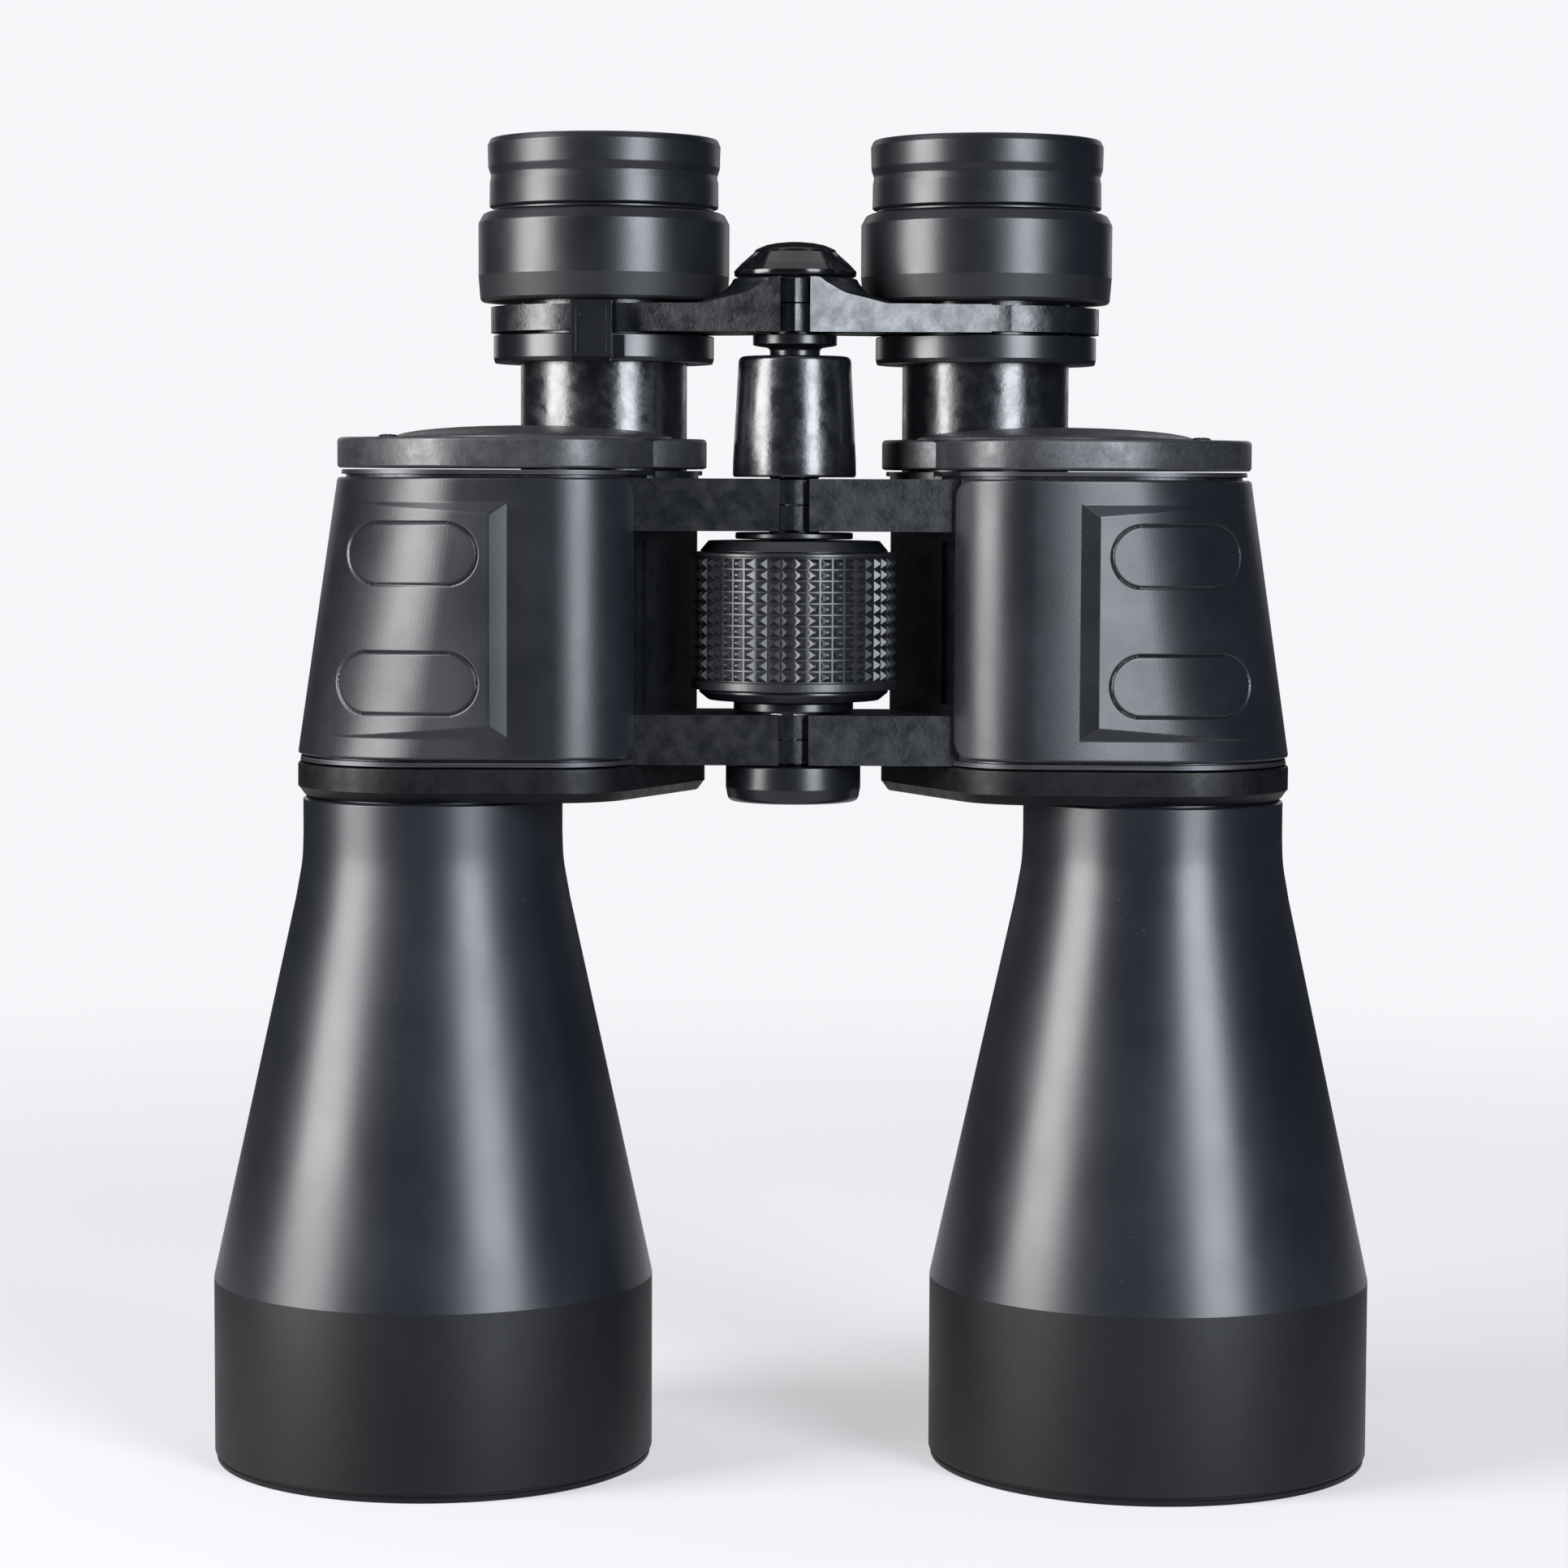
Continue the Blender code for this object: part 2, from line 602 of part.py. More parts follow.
def make_focus():
    """Focus wheel between its two thrust washers, and the screw that it drives."""
    low, high = WHEEL_Z
    core = [(AXLE_BORE_R, low), (15.6, low), (17.3, low + 1.4), (17.3, low + 1.7),
            (WHEEL_CORE_R, low + 1.7), (WHEEL_CORE_R, high - 1.8), (17.3, high - 1.8),
            (17.3, high - 1.6), (15.6, high), (AXLE_BORE_R, high)]
    finish_part(turned("focus_wheel_core", core, segments=FINE), "focus_wheel", "satin_black")
    low += 1.7 + GAP
    high -= 1.8 + GAP
    grip = [(WHEEL_CORE_R + GAP, low), (WHEEL_R - 0.3, low), (WHEEL_R, low + 0.4),
            (WHEEL_R, high - 0.4), (WHEEL_R - 0.3, high), (WHEEL_CORE_R + GAP, high)]
    finish_part(turned("focus_wheel_grip", grip, segments=28), "focus_wheel", "eyecup_rubber")
    washer = ring("wheel_washer_lower", 5.4, 11.0, LOWER_LUG_Z[1] + GAP, WHEEL_Z[0] - GAP)
    finish_part(washer, "left_body", "blackened_metal")
    washer = ring("wheel_washer_upper", 5.4, 10.8, WHEEL_Z[1] + GAP, UPPER_LUG_Z[0] - GAP)
    finish_part(washer, "left_body", "blackened_metal")
    screw = [(0.0, SCREW_Z[0]), (SCREW_R, SCREW_Z[0]), (SCREW_R, SCREW_COLLAR_Z[0]),
             (SCREW_COLLAR_R, SCREW_COLLAR_Z[0]), (SCREW_COLLAR_R, SCREW_COLLAR_Z[1]),
             (SCREW_R, SCREW_COLLAR_Z[1]), (SCREW_R, SCREW_Z[1]), (0.0, SCREW_Z[1])]
    finish_part(turned("focus_screw", screw), "focus_carriage", "steel")


# ---------------------------------------------------------------- bridge and eyepieces

def make_bridge_arm(tag, side, body):
    """Bridge arm: flared half hub, flat-faced arm and the ring that holds an eyepiece."""
    eyepiece = (side * EYEPIECE_X, EYEPIECE_Y)
    low, high = BRIDGE_Z
    plan = [(SLOT_X, BRIDGE_FRONT_Y), (EYEPIECE_X, EYEPIECE_Y - BRIDGE_RING_R + 0.02), (EYEPIECE_X, 12.0),
            (23.0, 15.5), (9.5, 11.7), (SLOT_BACK_X, 10.4), (SLOT_X, 1.0)]
    outline = [(side * x, y) for x, y in plan]
    arm = plate(f"bridge_arm_{tag}", outline, low, HUB_TOP_Z)
    flare = [(0.0, low - 1.0), (60.0, low - 1.0), (60.0, high), (18.5, high), (15.6, high + 0.7),
             (13.2, high + 1.9), (11.9, high + 3.4), (HUB_R, HUB_TOP_Z + 0.1),
             (0.0, HUB_TOP_Z + 0.1)]
    combine(arm, turned(f"tool_flare_{tag}", flare, segments=FINE), "INTERSECT")
    fuse(arm, rod(f"tool_arm_ring_{tag}", BRIDGE_RING_R, low + 0.2, high - 0.2, eyepiece, 24))
    middle = high + 0.15
    own = (middle + 0.15, HUB_TOP_Z - 0.2) if side == LEFT else (low + 0.2, middle - 0.15)
    other = (low - 1.0, middle - 0.15) if side == LEFT else (middle + 0.15, HUB_TOP_Z + 1.0)
    cut(arm, rod(f"tool_hub_pocket_{tag}", BRIDGE_KNUCKLE_R + GAP, *other, segments=FINE))
    fuse(arm, rod(f"tool_hub_knuckle_{tag}", BRIDGE_KNUCKLE_R, *own, segments=FINE))
    cut(arm, rod(f"tool_hub_bore_{tag}", SCREW_R + GAP, low - 1.0, HUB_TOP_Z + 1.0))
    bore = TUBE_R + TUBE_CLEARANCE
    room = [(0.0, low - 1.0), (bore, low - 1.0), (bore, high - 0.05),
            (OCULAR_R + GAP, high - 0.05), (OCULAR_R + GAP, HUB_TOP_Z + 1.0),
            (0.0, HUB_TOP_Z + 1.0)]
    cut(arm, turned(f"tool_arm_room_{tag}", room, eyepiece, FINE))
    finish_part(arm, body, "cast_black")


def make_bridge_cap():
    """Round cap over the bridge hub: glossy rim, chamfer and a shallow dome."""
    low, high = BRIDGE_CAP_Z
    profile = [(0.0, low), (BRIDGE_CAP_R, low), (BRIDGE_CAP_R, low + 1.2), (7.4, high - 1.6),
               (7.2, high - 1.2), (4.0, high - 0.3), (0.0, high)]
    finish_part(turned("bridge_cap", profile), "focus_carriage", "gloss_black")


def lens_profile(base, radius, edge, bulge):
    """A biconvex lens seen in section, resting with its edge at the base height."""
    half = radius * 0.55
    return [(0.0, base - bulge), (half, base - bulge * 0.7), (radius, base), (radius, base + edge),
            (half, base + edge + bulge * 0.7), (0.0, base + edge + bulge)]


def make_eyepiece(tag, side, tube_body, head_body, lens_body):
    """Draw tube, ocular head, rubber eyecup and the fixed lenses of one eyepiece."""
    centre = (side * EYEPIECE_X, EYEPIECE_Y)
    bore = TUBE_R - TUBE_WALL
    tube = ring(f"eyepiece_tube_{tag}", bore, TUBE_R, *TUBE_Z, centre, FINE)
    finish_part(tube, tube_body, "satin_black")
    low, high = OCULAR_Z
    tube_top = TUBE_Z[1] + 0.5
    inner = TUBE_R + TUBE_CLEARANCE
    head = [(inner, low), (OCULAR_R - 0.6, low), (OCULAR_R - 0.2, low + 0.4),
            (OCULAR_R, low + 4.7), (OCULAR_R, high - 1.6), (OCULAR_R - 1.4, high),
            (OCULAR_LIP_R, high), (OCULAR_LIP_R, tube_top), (inner, tube_top)]
    finish_part(turned(f"ocular_head_{tag}", head, centre, FINE), head_body, "satin_black")
    low = high + GAP
    high = EYECUP_TOP_Z
    cup = [(14.0, low), (EYECUP_R - 1.4, low), (EYECUP_R - 1.4, low + 1.4), (EYECUP_R - 0.3, low + 1.7),
           (EYECUP_R, high - 0.9), (EYECUP_R - 0.9, high), (EYECUP_INNER_R, high),
           (EYECUP_INNER_R, low + 2.2), (14.0, low + 1.6)]
    finish_part(turned(f"eyecup_{tag}", cup, centre, FINE), head_body, "eyecup_rubber")
    glass_r = bore - GAP
    eye = turned(f"eye_lens_{tag}", lens_profile(EYE_LENS_Z, glass_r, 3.0, 1.2), centre)
    finish_part(eye, lens_body, "coated_glass")
    field = turned(f"field_lens_{tag}", lens_profile(FIELD_LENS_Z, glass_r, 2.4, 1.0), centre)
    finish_part(field, tube_body, "coated_glass")


def make_zoom(tag, side, ring_body, group_body):
    """Zoom ring round the draw tube and the lens cell that it moves."""
    centre = (side * EYEPIECE_X, EYEPIECE_Y)
    low, high = ZOOM_RING_Z
    inner = TUBE_R + TUBE_CLEARANCE
    profile = [(inner, low), (ZOOM_RING_R - 0.4, low), (ZOOM_RING_R, low + 0.4),
               (ZOOM_RING_R, high), (inner, high)]
    finish_part(turned(f"zoom_ring_{tag}", profile, centre, FINE), ring_body, "satin_black")
    cell_r = TUBE_R - TUBE_WALL - GAP
    cell = ring(f"zoom_cell_{tag}", cell_r - 1.2, cell_r, ZOOM_GROUP_Z, ZOOM_GROUP_Z + 6.0, centre)
    finish_part(cell, group_body, "blackened_metal")
    glass = lens_profile(ZOOM_GROUP_Z + 1.8, cell_r - 1.2 - GAP, 2.0, 0.9)
    finish_part(turned(f"zoom_lens_{tag}", glass, centre, SMALL), group_body, "coated_glass")


def make_zoom_lever():
    """Thumb lever on the left zoom ring, standing past the bridge ring with a side rib."""
    angle = math.radians(LEVER_ANGLE)
    outward = Vector((math.cos(angle), math.sin(angle)))
    sideways = Vector((-outward.y, outward.x))
    centre = Vector((-EYEPIECE_X, EYEPIECE_Y))
    half = LEVER_WIDTH / 2.0

    def section(inner, outer, low_side, high_side):
        corners = ((inner, low_side), (outer, low_side), (outer, high_side), (inner, high_side))
        points = [centre + outward * r + sideways * s for r, s in corners]
        return [(point.x, point.y) for point in points]

    low = ZOOM_RING_Z[0]
    step = ZOOM_RING_Z[1]
    foot_r = ZOOM_RING_R + GAP
    clear_r = BRIDGE_RING_R + 2.0 * GAP
    levels = [
        (section(foot_r, LEVER_R - 0.7, -half + 0.5, half - 0.5), low),
        (section(foot_r, LEVER_R, -half, half), low + 0.7),
        (section(foot_r, LEVER_R, -half, half), step - 0.1),
        (section(clear_r, LEVER_R, -half, half), step + 0.1),
        (section(clear_r, LEVER_R - 0.2, -half, half), LEVER_TOP_Z),
    ]
    lever = stacked("zoom_lever", levels, (centre.x, centre.y, low))
    rib = plate("tool_lever_rib", section(foot_r + 0.5, LEVER_R - 1.5, half - 0.5, half + 2.2),
                low + 0.4, step - 0.5)
    fuse(lever, rib)
    finish_part(lever, "zoom_left", "satin_black")


# ---------------------------------------------------------------- assembly

def build():
    """Make every part of the binoculars."""
    for tag, side in SIDES.items():
        body = "left_body" if side == LEFT else "right_body"
        make_housing(tag, side, body)
        make_skin(tag, side, body)
        make_covers(tag, side, body)
        make_prism_set(tag, side, body)
        make_cover_screws(tag, side, body)
        make_barrel(tag, side, body)
        make_objective(tag, side, body)
    make_hinge()
    make_focus()
    make_bridge_arm("L", LEFT, "focus_carriage")
    make_bridge_arm("R", RIGHT, "right_bridge")
    make_bridge_cap()
    make_eyepiece("L", LEFT, "focus_carriage", "focus_carriage", "focus_carriage")
    make_eyepiece("R", RIGHT, "right_bridge", "diopter_head", "diopter_lens")
    make_zoom("L", LEFT, "zoom_left", "zoom_group_left")
    make_zoom("R", RIGHT, "zoom_right", "zoom_group_right")
    make_zoom_lever()


clear_scene()
MATERIALS = make_materials()
BODIES = make_bodies()
build()
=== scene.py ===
"""Looks of the zoom binoculars: fine shells, knurling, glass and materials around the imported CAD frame.

Lengths in this script are millimetres; the mesh helpers convert them to metres.
"""
import math
from itertools import accumulate

import bmesh
import bpy
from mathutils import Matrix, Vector


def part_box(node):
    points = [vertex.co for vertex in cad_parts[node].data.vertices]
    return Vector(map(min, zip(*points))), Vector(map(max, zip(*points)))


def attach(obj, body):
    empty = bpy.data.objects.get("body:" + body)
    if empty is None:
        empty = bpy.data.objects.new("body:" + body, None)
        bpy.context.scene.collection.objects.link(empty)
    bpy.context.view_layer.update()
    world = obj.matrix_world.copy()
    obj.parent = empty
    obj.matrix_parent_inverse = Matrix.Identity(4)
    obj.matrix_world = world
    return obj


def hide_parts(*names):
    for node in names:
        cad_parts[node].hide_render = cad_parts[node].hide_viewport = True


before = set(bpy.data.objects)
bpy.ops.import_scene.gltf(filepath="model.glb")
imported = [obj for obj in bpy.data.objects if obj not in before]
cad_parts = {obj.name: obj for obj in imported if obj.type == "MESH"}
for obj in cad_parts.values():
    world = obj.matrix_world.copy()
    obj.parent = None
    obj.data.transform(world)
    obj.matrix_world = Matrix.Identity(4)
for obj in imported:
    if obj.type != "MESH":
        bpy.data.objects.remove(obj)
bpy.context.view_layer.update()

MM = 0.001
METRE = 1.0 / MM
SIDES = {"L": -1, "R": 1}
BODY = {"L": "left_body", "R": "right_body"}
BRIDGE_BODY = {"L": "focus_carriage", "R": "right_bridge"}
HEAD_BODY = {"L": "focus_carriage", "R": "diopter_head"}
ROUND = 144
SMALL_ROUND = 72


# ---------------- places read from the frame

def low_of(node):
    """Lowest corner of a CAD node in millimetres."""
    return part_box(node)[0] / MM


def high_of(node):
    """Highest corner of a CAD node in millimetres."""
    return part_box(node)[1] / MM


def heights(node):
    """Bottom and top of a CAD node."""
    return low_of(node).z, high_of(node).z


def round_size(node):
    """Bottom, top and outer radius of a round CAD node."""
    return (*heights(node), radius_of(node))


def axis_of(node):
    """Plan centre of a round CAD node."""
    middle = (low_of(node) + high_of(node)) / 2.0
    return middle.x, middle.y


def radius_of(node):
    """Outer radius of a round CAD node."""
    return (high_of(node).x - low_of(node).x) / 2.0


OBJECTIVE_X = axis_of("objective_barrel_R")[0]
EYEPIECE_X, EYEPIECE_Y = axis_of("eyepiece_tube_R")
SKIN_LOW, SKIN_HIGH = heights("body_skin_R")
OUTER_LOW = high_of("body_skin_R").x
OUTER_HIGH = high_of("eyepiece_cover_R").x
HOUSING_HIGH = high_of("prism_housing_R").z
TUBE_R = radius_of("eyepiece_tube_R")
BORE_R = TUBE_R + 0.35
HALF_GAP = 0.15
OVERSHOOT = 2.0


# ---------------- mesh helpers

def shade(mesh, sharp):
    """Smooth shading with the edges above an angle kept sharp."""
    mesh.shade_smooth()
    mesh.set_sharp_from_angle(angle=math.radians(sharp))


def add_mesh(name, bm, sharp=32.0):
    """Turn a bmesh in millimetres into an object in metres, smooth with sharp edges kept."""
    bmesh.ops.scale(bm, verts=bm.verts, vec=(MM, MM, MM))
    bmesh.ops.recalc_face_normals(bm, faces=bm.faces)
    mesh = bpy.data.meshes.new(name)
    bm.to_mesh(mesh)
    bm.free()
    shade(mesh, sharp)
    obj = bpy.data.objects.new(name, mesh)
    bpy.context.scene.collection.objects.link(obj)
    return obj


def corner_arcs(corners, steps):
    """Points of each corner of a closed outline; a corner's third number is its radius."""
    count = len(corners)
    arcs = []
    for index, corner in enumerate(corners):
        here = Vector(corner[:2])
        if len(corner) < 3 or corner[2] == 0.0:
            arcs.append([tuple(here)])
            continue
        back = Vector(corners[index - 1][:2]) - here
        ahead = Vector(corners[(index + 1) % count][:2]) - here
        arcs.append(corner_arc(here, back, ahead, corner[2], steps))
    return arcs


def rounded(corners, steps):
    """A closed outline with its corners rounded."""
    return [point for arc in corner_arcs(corners, steps) for point in arc]


def corner_arc(here, back, ahead, fillet, steps):
    """Points of the arc that rounds one corner, shortened where its sides are short."""
    half = back.angle(ahead) / 2.0
    reach = min(fillet / math.tan(half), back.length * 0.49, ahead.length * 0.49)
    radius = reach * math.tan(half)
    back.normalize()
    ahead.normalize()
    centre = here + (back + ahead).normalized() * (radius / math.sin(half))
    start = here + back * reach - centre
    end = here + ahead * reach - centre
    sweep = math.copysign(math.pi - 2.0 * half, start.x * end.y - start.y * end.x)
    arc = []
    for step in range(steps + 1):
        angle = sweep * step / steps
        cosine, sine = math.cos(angle), math.sin(angle)
        arc.append((centre.x + start.x * cosine - start.y * sine,
                    centre.y + start.x * sine + start.y * cosine))
    return arc


def turned(name, profile, centre=(0.0, 0.0), segments=ROUND, steps=5, sharp=32.0):
    """Revolve a closed (r, z[, fillet]) profile about a vertical axis."""
    bm = bmesh.new()
    rings = []
    for radius, z in rounded(profile, steps):
        if radius < 1e-6:
            rings.append([bm.verts.new((centre[0], centre[1], z))])
            continue
        turns = [2.0 * math.pi * step / segments for step in range(segments)]
        rings.append([bm.verts.new((centre[0] + radius * math.cos(turn),
                                    centre[1] + radius * math.sin(turn), z)) for turn in turns])
    for index, ring in enumerate(rings):
        join_rings(bm, ring, rings[(index + 1) % len(rings)], segments)
    return add_mesh(name, bm, sharp)


def join_rings(bm, first, second, segments):
    """Faces between two rings, either of which may be one point on the axis."""
    if len(first) == 1 and len(second) == 1:
        return
    for step in range(segments):
        after = (step + 1) % segments
        if len(first) == 1:
            bm.faces.new((first[0], second[step], second[after]))
        elif len(second) == 1:
            bm.faces.new((first[step], second[0], first[after]))
        else:
            bm.faces.new((first[step], second[step], second[after], first[after]))


def rod(name, radius, low, high, centre=(0.0, 0.0), segments=ROUND):
    """A plain cylinder."""
    return turned(name, [(0.0, low), (radius, low), (radius, high), (0.0, high)], centre, segments)


def stacked(name, levels):
    """A solid skinned through plan outlines at rising heights."""
    bm = bmesh.new()
    loops = [[bm.verts.new((x, y, z)) for x, y in outline] for outline, z in levels]
    bm.faces.new(loops[0])
    bm.faces.new(loops[-1])
    count = len(loops[0])
    for low, high in zip(loops, loops[1:]):
        for step in range(count):
            after = (step + 1) % count
            bm.faces.new((low[step], low[after], high[after], high[step]))
    return add_mesh(name, bm)


def plate(name, outline, low, high):
    """A flat plate of one outline."""
    return stacked(name, [(outline, low), (outline, high)])


def inset_corners(corners, distance):
    """Move every side of a convex polygon inwards and shrink its corner radii."""
    middle = Vector((sum(c[0] for c in corners), sum(c[1] for c in corners))) / len(corners)
    lines = []
    for index, corner in enumerate(corners):
        start = Vector(corner[:2])
        along = (Vector(corners[(index + 1) % len(corners)][:2]) - start).normalized()
        normal = Vector((-along.y, along.x))
        if normal.dot(middle - start) < 0.0:
            normal = -normal
        lines.append((start + normal * distance, along))
    moved = []
    for index, corner in enumerate(corners):
        (p, u), (q, v) = lines[index - 1], lines[index]
        travel = ((q - p).x * v.y - (q - p).y * v.x) / (u.x * v.y - u.y * v.x)
        point = p + u * travel
        moved.append((point.x, point.y, max(corner[2] - distance, 0.4)))
    return moved


def body_corners(outer_x):
    """Plan polygon of a prism housing, with its corner radii."""
    return [(outer_x, -24.8, 24.0), (33.5, -22.6, 16.0), (16.3, 14.5, 4.0),
            (21.5, 31.6, 8.0), (outer_x, 25.2, 24.0)]


def body_outline(side, outer_x, inset=0.0, steps=16):
    """Plan outline of a prism housing at a given inset from its skin."""
    points = rounded(inset_corners(body_corners(outer_x), inset), steps)
    return [(side * x, y) for x, y in points]


def outer_reach(z):
    """The housing's outer end leans inwards with height."""
    share = (z - SKIN_LOW) / (SKIN_HIGH - SKIN_LOW)
    return OUTER_LOW + (OUTER_HIGH - OUTER_LOW) * share


def body_stack(name, side, shape, outer_x=None):
    """A housing-shaped solid from (height, inset) pairs; it leans unless its outer end is given."""
    levels = []
    for z, inset in shape:
        reach = outer_reach(z) if outer_x is None else outer_x
        levels.append((body_outline(side, reach, inset), z))
    return stacked(name, levels)


def spoke(centre, angle, inner, outer, low_side, high_side):
    """Plan rectangle along a direction, between two radii and two sides of a centre line."""
    along = Vector((math.cos(angle), math.sin(angle)))
    across = Vector((-along.y, along.x))
    corners = ((inner, low_side), (outer, low_side), (outer, high_side), (inner, high_side))
    return [tuple(Vector(centre) + along * r + across * s) for r, s in corners]


def repeated(start, end, pitch, tooth):
    """Repeat a tooth of (radius, rise) points upwards, as long as it starts below the end."""
    points = []
    z = start
    while z < end:
        points += [(radius, z + rise) for radius, rise in tooth]
        z += pitch
    return points


def combine(target, tool, operation):
    """Boolean step, applied at once so that no tool object stays in the scene."""
    modifier = target.modifiers.new("cut", "BOOLEAN")
    modifier.operation = operation
    modifier.object = tool
    modifier.solver = "EXACT"
    bake_modifiers(target)
    bpy.data.objects.remove(tool)


def bake_modifiers(obj):
    """Replace an object's mesh by its evaluated mesh."""
    graph = bpy.context.evaluated_depsgraph_get()
    mesh = bpy.data.meshes.new_from_object(obj.evaluated_get(graph))
    obj.modifiers.clear()
    obj.data = mesh


def cut(target, *tools):
    """Remove each tool's volume."""
    for tool in tools:
        combine(target, tool, "DIFFERENCE")


def fuse(target, *tools):
    """Add each tool's volume."""
    for tool in tools:
        combine(target, tool, "UNION")


def bevel(obj, width, segments=2, angle=35.0):
    """Small rounding of the hard edges."""
    modifier = obj.modifiers.new("edges", "BEVEL")
    modifier.width = width * MM
    modifier.segments = segments
    modifier.limit_method = "ANGLE"
    modifier.angle_limit = math.radians(angle)
    modifier.use_clamp_overlap = True
    bake_modifiers(obj)
    shade(obj.data, 40.0)


def dress(piece, body, material, slot, *nodes):
    """Material, tidy shading, body and the CAD nodes that a piece stands for; the finish slot is not
    used.
    """
    piece.data.materials.clear()
    piece.data.materials.append(material)
    weighted = piece.modifiers.new("normals", "WEIGHTED_NORMAL")
    weighted.keep_sharp = True
    weighted.weight = 80
    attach(piece, body)
    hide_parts(*nodes)
    return piece


def turn_piece(node, ending, profile, body, material, slot, centre=(0.0, 0.0), **options):
    """A turned piece that stands for one CAD node."""
    piece = turned(f"{node}_{ending}", profile, centre, **options)
    return dress(piece, body, material, slot, node)


# ---------------- materials

def new_node(tree, kind, sockets=None, **attributes):
    """Add a shader node with its attributes and the values of its sockets."""
    node = tree.nodes.new(kind)
    for name, value in attributes.items():
        setattr(node, name, value)
    for socket, value in (sockets or {}).items():
        node.inputs[socket].default_value = value
    return node


class Surface:
    """A Principled material with helpers for procedural detail in object coordinates."""

    def __init__(self, name, colour, roughness, metallic=0.0, gloss=0.42):
        self.material = bpy.data.materials.new(name)
        self.material.use_nodes = True
        self.tree = self.material.node_tree
        self.shader = self.tree.nodes["Principled BSDF"]
        self.set({"Base Color": (*colour, 1.0), "Roughness": roughness, "Metallic": metallic,
                  "Specular IOR Level": gloss})
        self.coords = new_node(self.tree, "ShaderNodeTexCoord").outputs["Object"]
        self.normal = None

    def set(self, values):
        """Plain values on the shader's own sockets."""
        for socket, value in values.items():
            self.shader.inputs[socket].default_value = value

    def link(self, source, target):
        """Join an output to an input."""
        self.tree.links.new(source, target)

    def fed(self, kind, source, socket, sockets=None, **attributes):
        """Add a node with one of its inputs linked."""
        node = new_node(self.tree, kind, sockets, **attributes)
        self.link(source, node.inputs[socket])
        return node

    def stretched(self, scale):
        """Object coordinates scaled per axis, for streaks and brushing."""
        return self.fed("ShaderNodeMapping", self.coords, "Vector", {"Scale": scale}).outputs["Vector"]

    def noise(self, scale, detail=3.0, rough=0.55, vector=None, distortion=0.0):
        """Fractal noise from 0 to 1."""
        values = {"Scale": scale, "Detail": detail, "Roughness": rough, "Distortion": distortion}
        return self.fed("ShaderNodeTexNoise", vector or self.coords, "Vector", values).outputs["Fac"]

    def remap(self, value, low, high, to_low, to_high, interpolation="LINEAR"):
        """Carry a value from one range to another, clamped at both ends."""
        values = {"From Min": low, "From Max": high, "To Min": to_low, "To Max": to_high}
        node = self.fed("ShaderNodeMapRange", value, "Value", values, interpolation_type=interpolation)
        return node.outputs["Result"]

    def tint(self, factor, colour):
        """Mix another colour over the base where the factor is high."""
        node = new_node(self.tree, "ShaderNodeMix", data_type="RGBA")
        base = self.shader.inputs["Base Color"]
        if base.is_linked:
            self.link(base.links[0].from_socket, node.inputs["A"])
        else:
            node.inputs["A"].default_value = base.default_value
        node.inputs["B"].default_value = (*colour, 1.0)
        self.link(factor, node.inputs["Factor"])
        self.link(node.outputs["Result"], base)

    def roughen(self, value, low, high):
        """Roughness between two limits, following a 0..1 value."""
        self.link(self.remap(value, 0.3, 0.7, low, high), self.shader.inputs["Roughness"])

    def bump(self, height, distance, strength=1.0):
        """Add a bump of a real height in millimetres."""
        node = self.fed("ShaderNodeBump", height, "Height",
                        {"Strength": strength, "Distance": distance * MM})
        if self.normal is not None:
            self.link(self.normal, node.inputs["Normal"])
        self.normal = node.outputs["Normal"]
        self.link(self.normal, self.shader.inputs["Normal"])

    def from_middle(self):
        """Distance of a point from the plane between the two bodies, in metres."""
        split = self.fed("ShaderNodeSeparateXYZ", self.coords, "Vector")
        return self.fed("ShaderNodeMath", split.outputs["X"], 0, operation="ABSOLUTE").outputs["Value"]

    def crown(self, start, end, drop):
        """Shade a broad crown: the surface seems to drop smoothly from start to end."""
        fall = self.remap(self.from_middle(), start * MM, end * MM, 0.0, -drop * MM, "SMOOTHSTEP")
        self.bump(fall, METRE)

    def lean(self, slope, reach):
        """Shade an even lean away from the middle plane, up to a reach."""
        fall = self.remap(self.from_middle(), 0.0, reach * MM, 0.0, -slope * reach * MM)
        self.bump(fall, METRE)


def scaled(colour, share):
    """A colour made lighter or darker."""
    return tuple(min(channel * share, 1.0) for channel in colour)


def satin_paint(name, colour, roughness, grain=2600.0, depth=0.006):
    """Smooth satin black: faint orange peel, cloudy sheen, a few dust specks and fine scuffs."""
    skin = Surface(name, colour, roughness)
    cloud = skin.noise(28.0, 4.0, 0.6)
    skin.tint(skin.remap(cloud, 0.35, 0.75, 0.0, 0.5), scaled(colour, 1.5))
    dust = skin.noise(1500.0, 1.0, 0.4)
    skin.tint(skin.remap(dust, 0.76, 0.82, 0.0, 0.12), (0.16, 0.16, 0.17))
    skin.roughen(cloud, roughness - 0.05, roughness + 0.05)
    skin.bump(skin.noise(grain, 2.0, 0.6), depth)
    scuff = skin.noise(90.0, 5.0, 0.7, skin.stretched((1.0, 1.0, 6.0)), 0.6)
    skin.bump(skin.remap(scuff, 0.62, 0.72, 0.0, 1.0), 0.004, 0.6)
    return skin.material


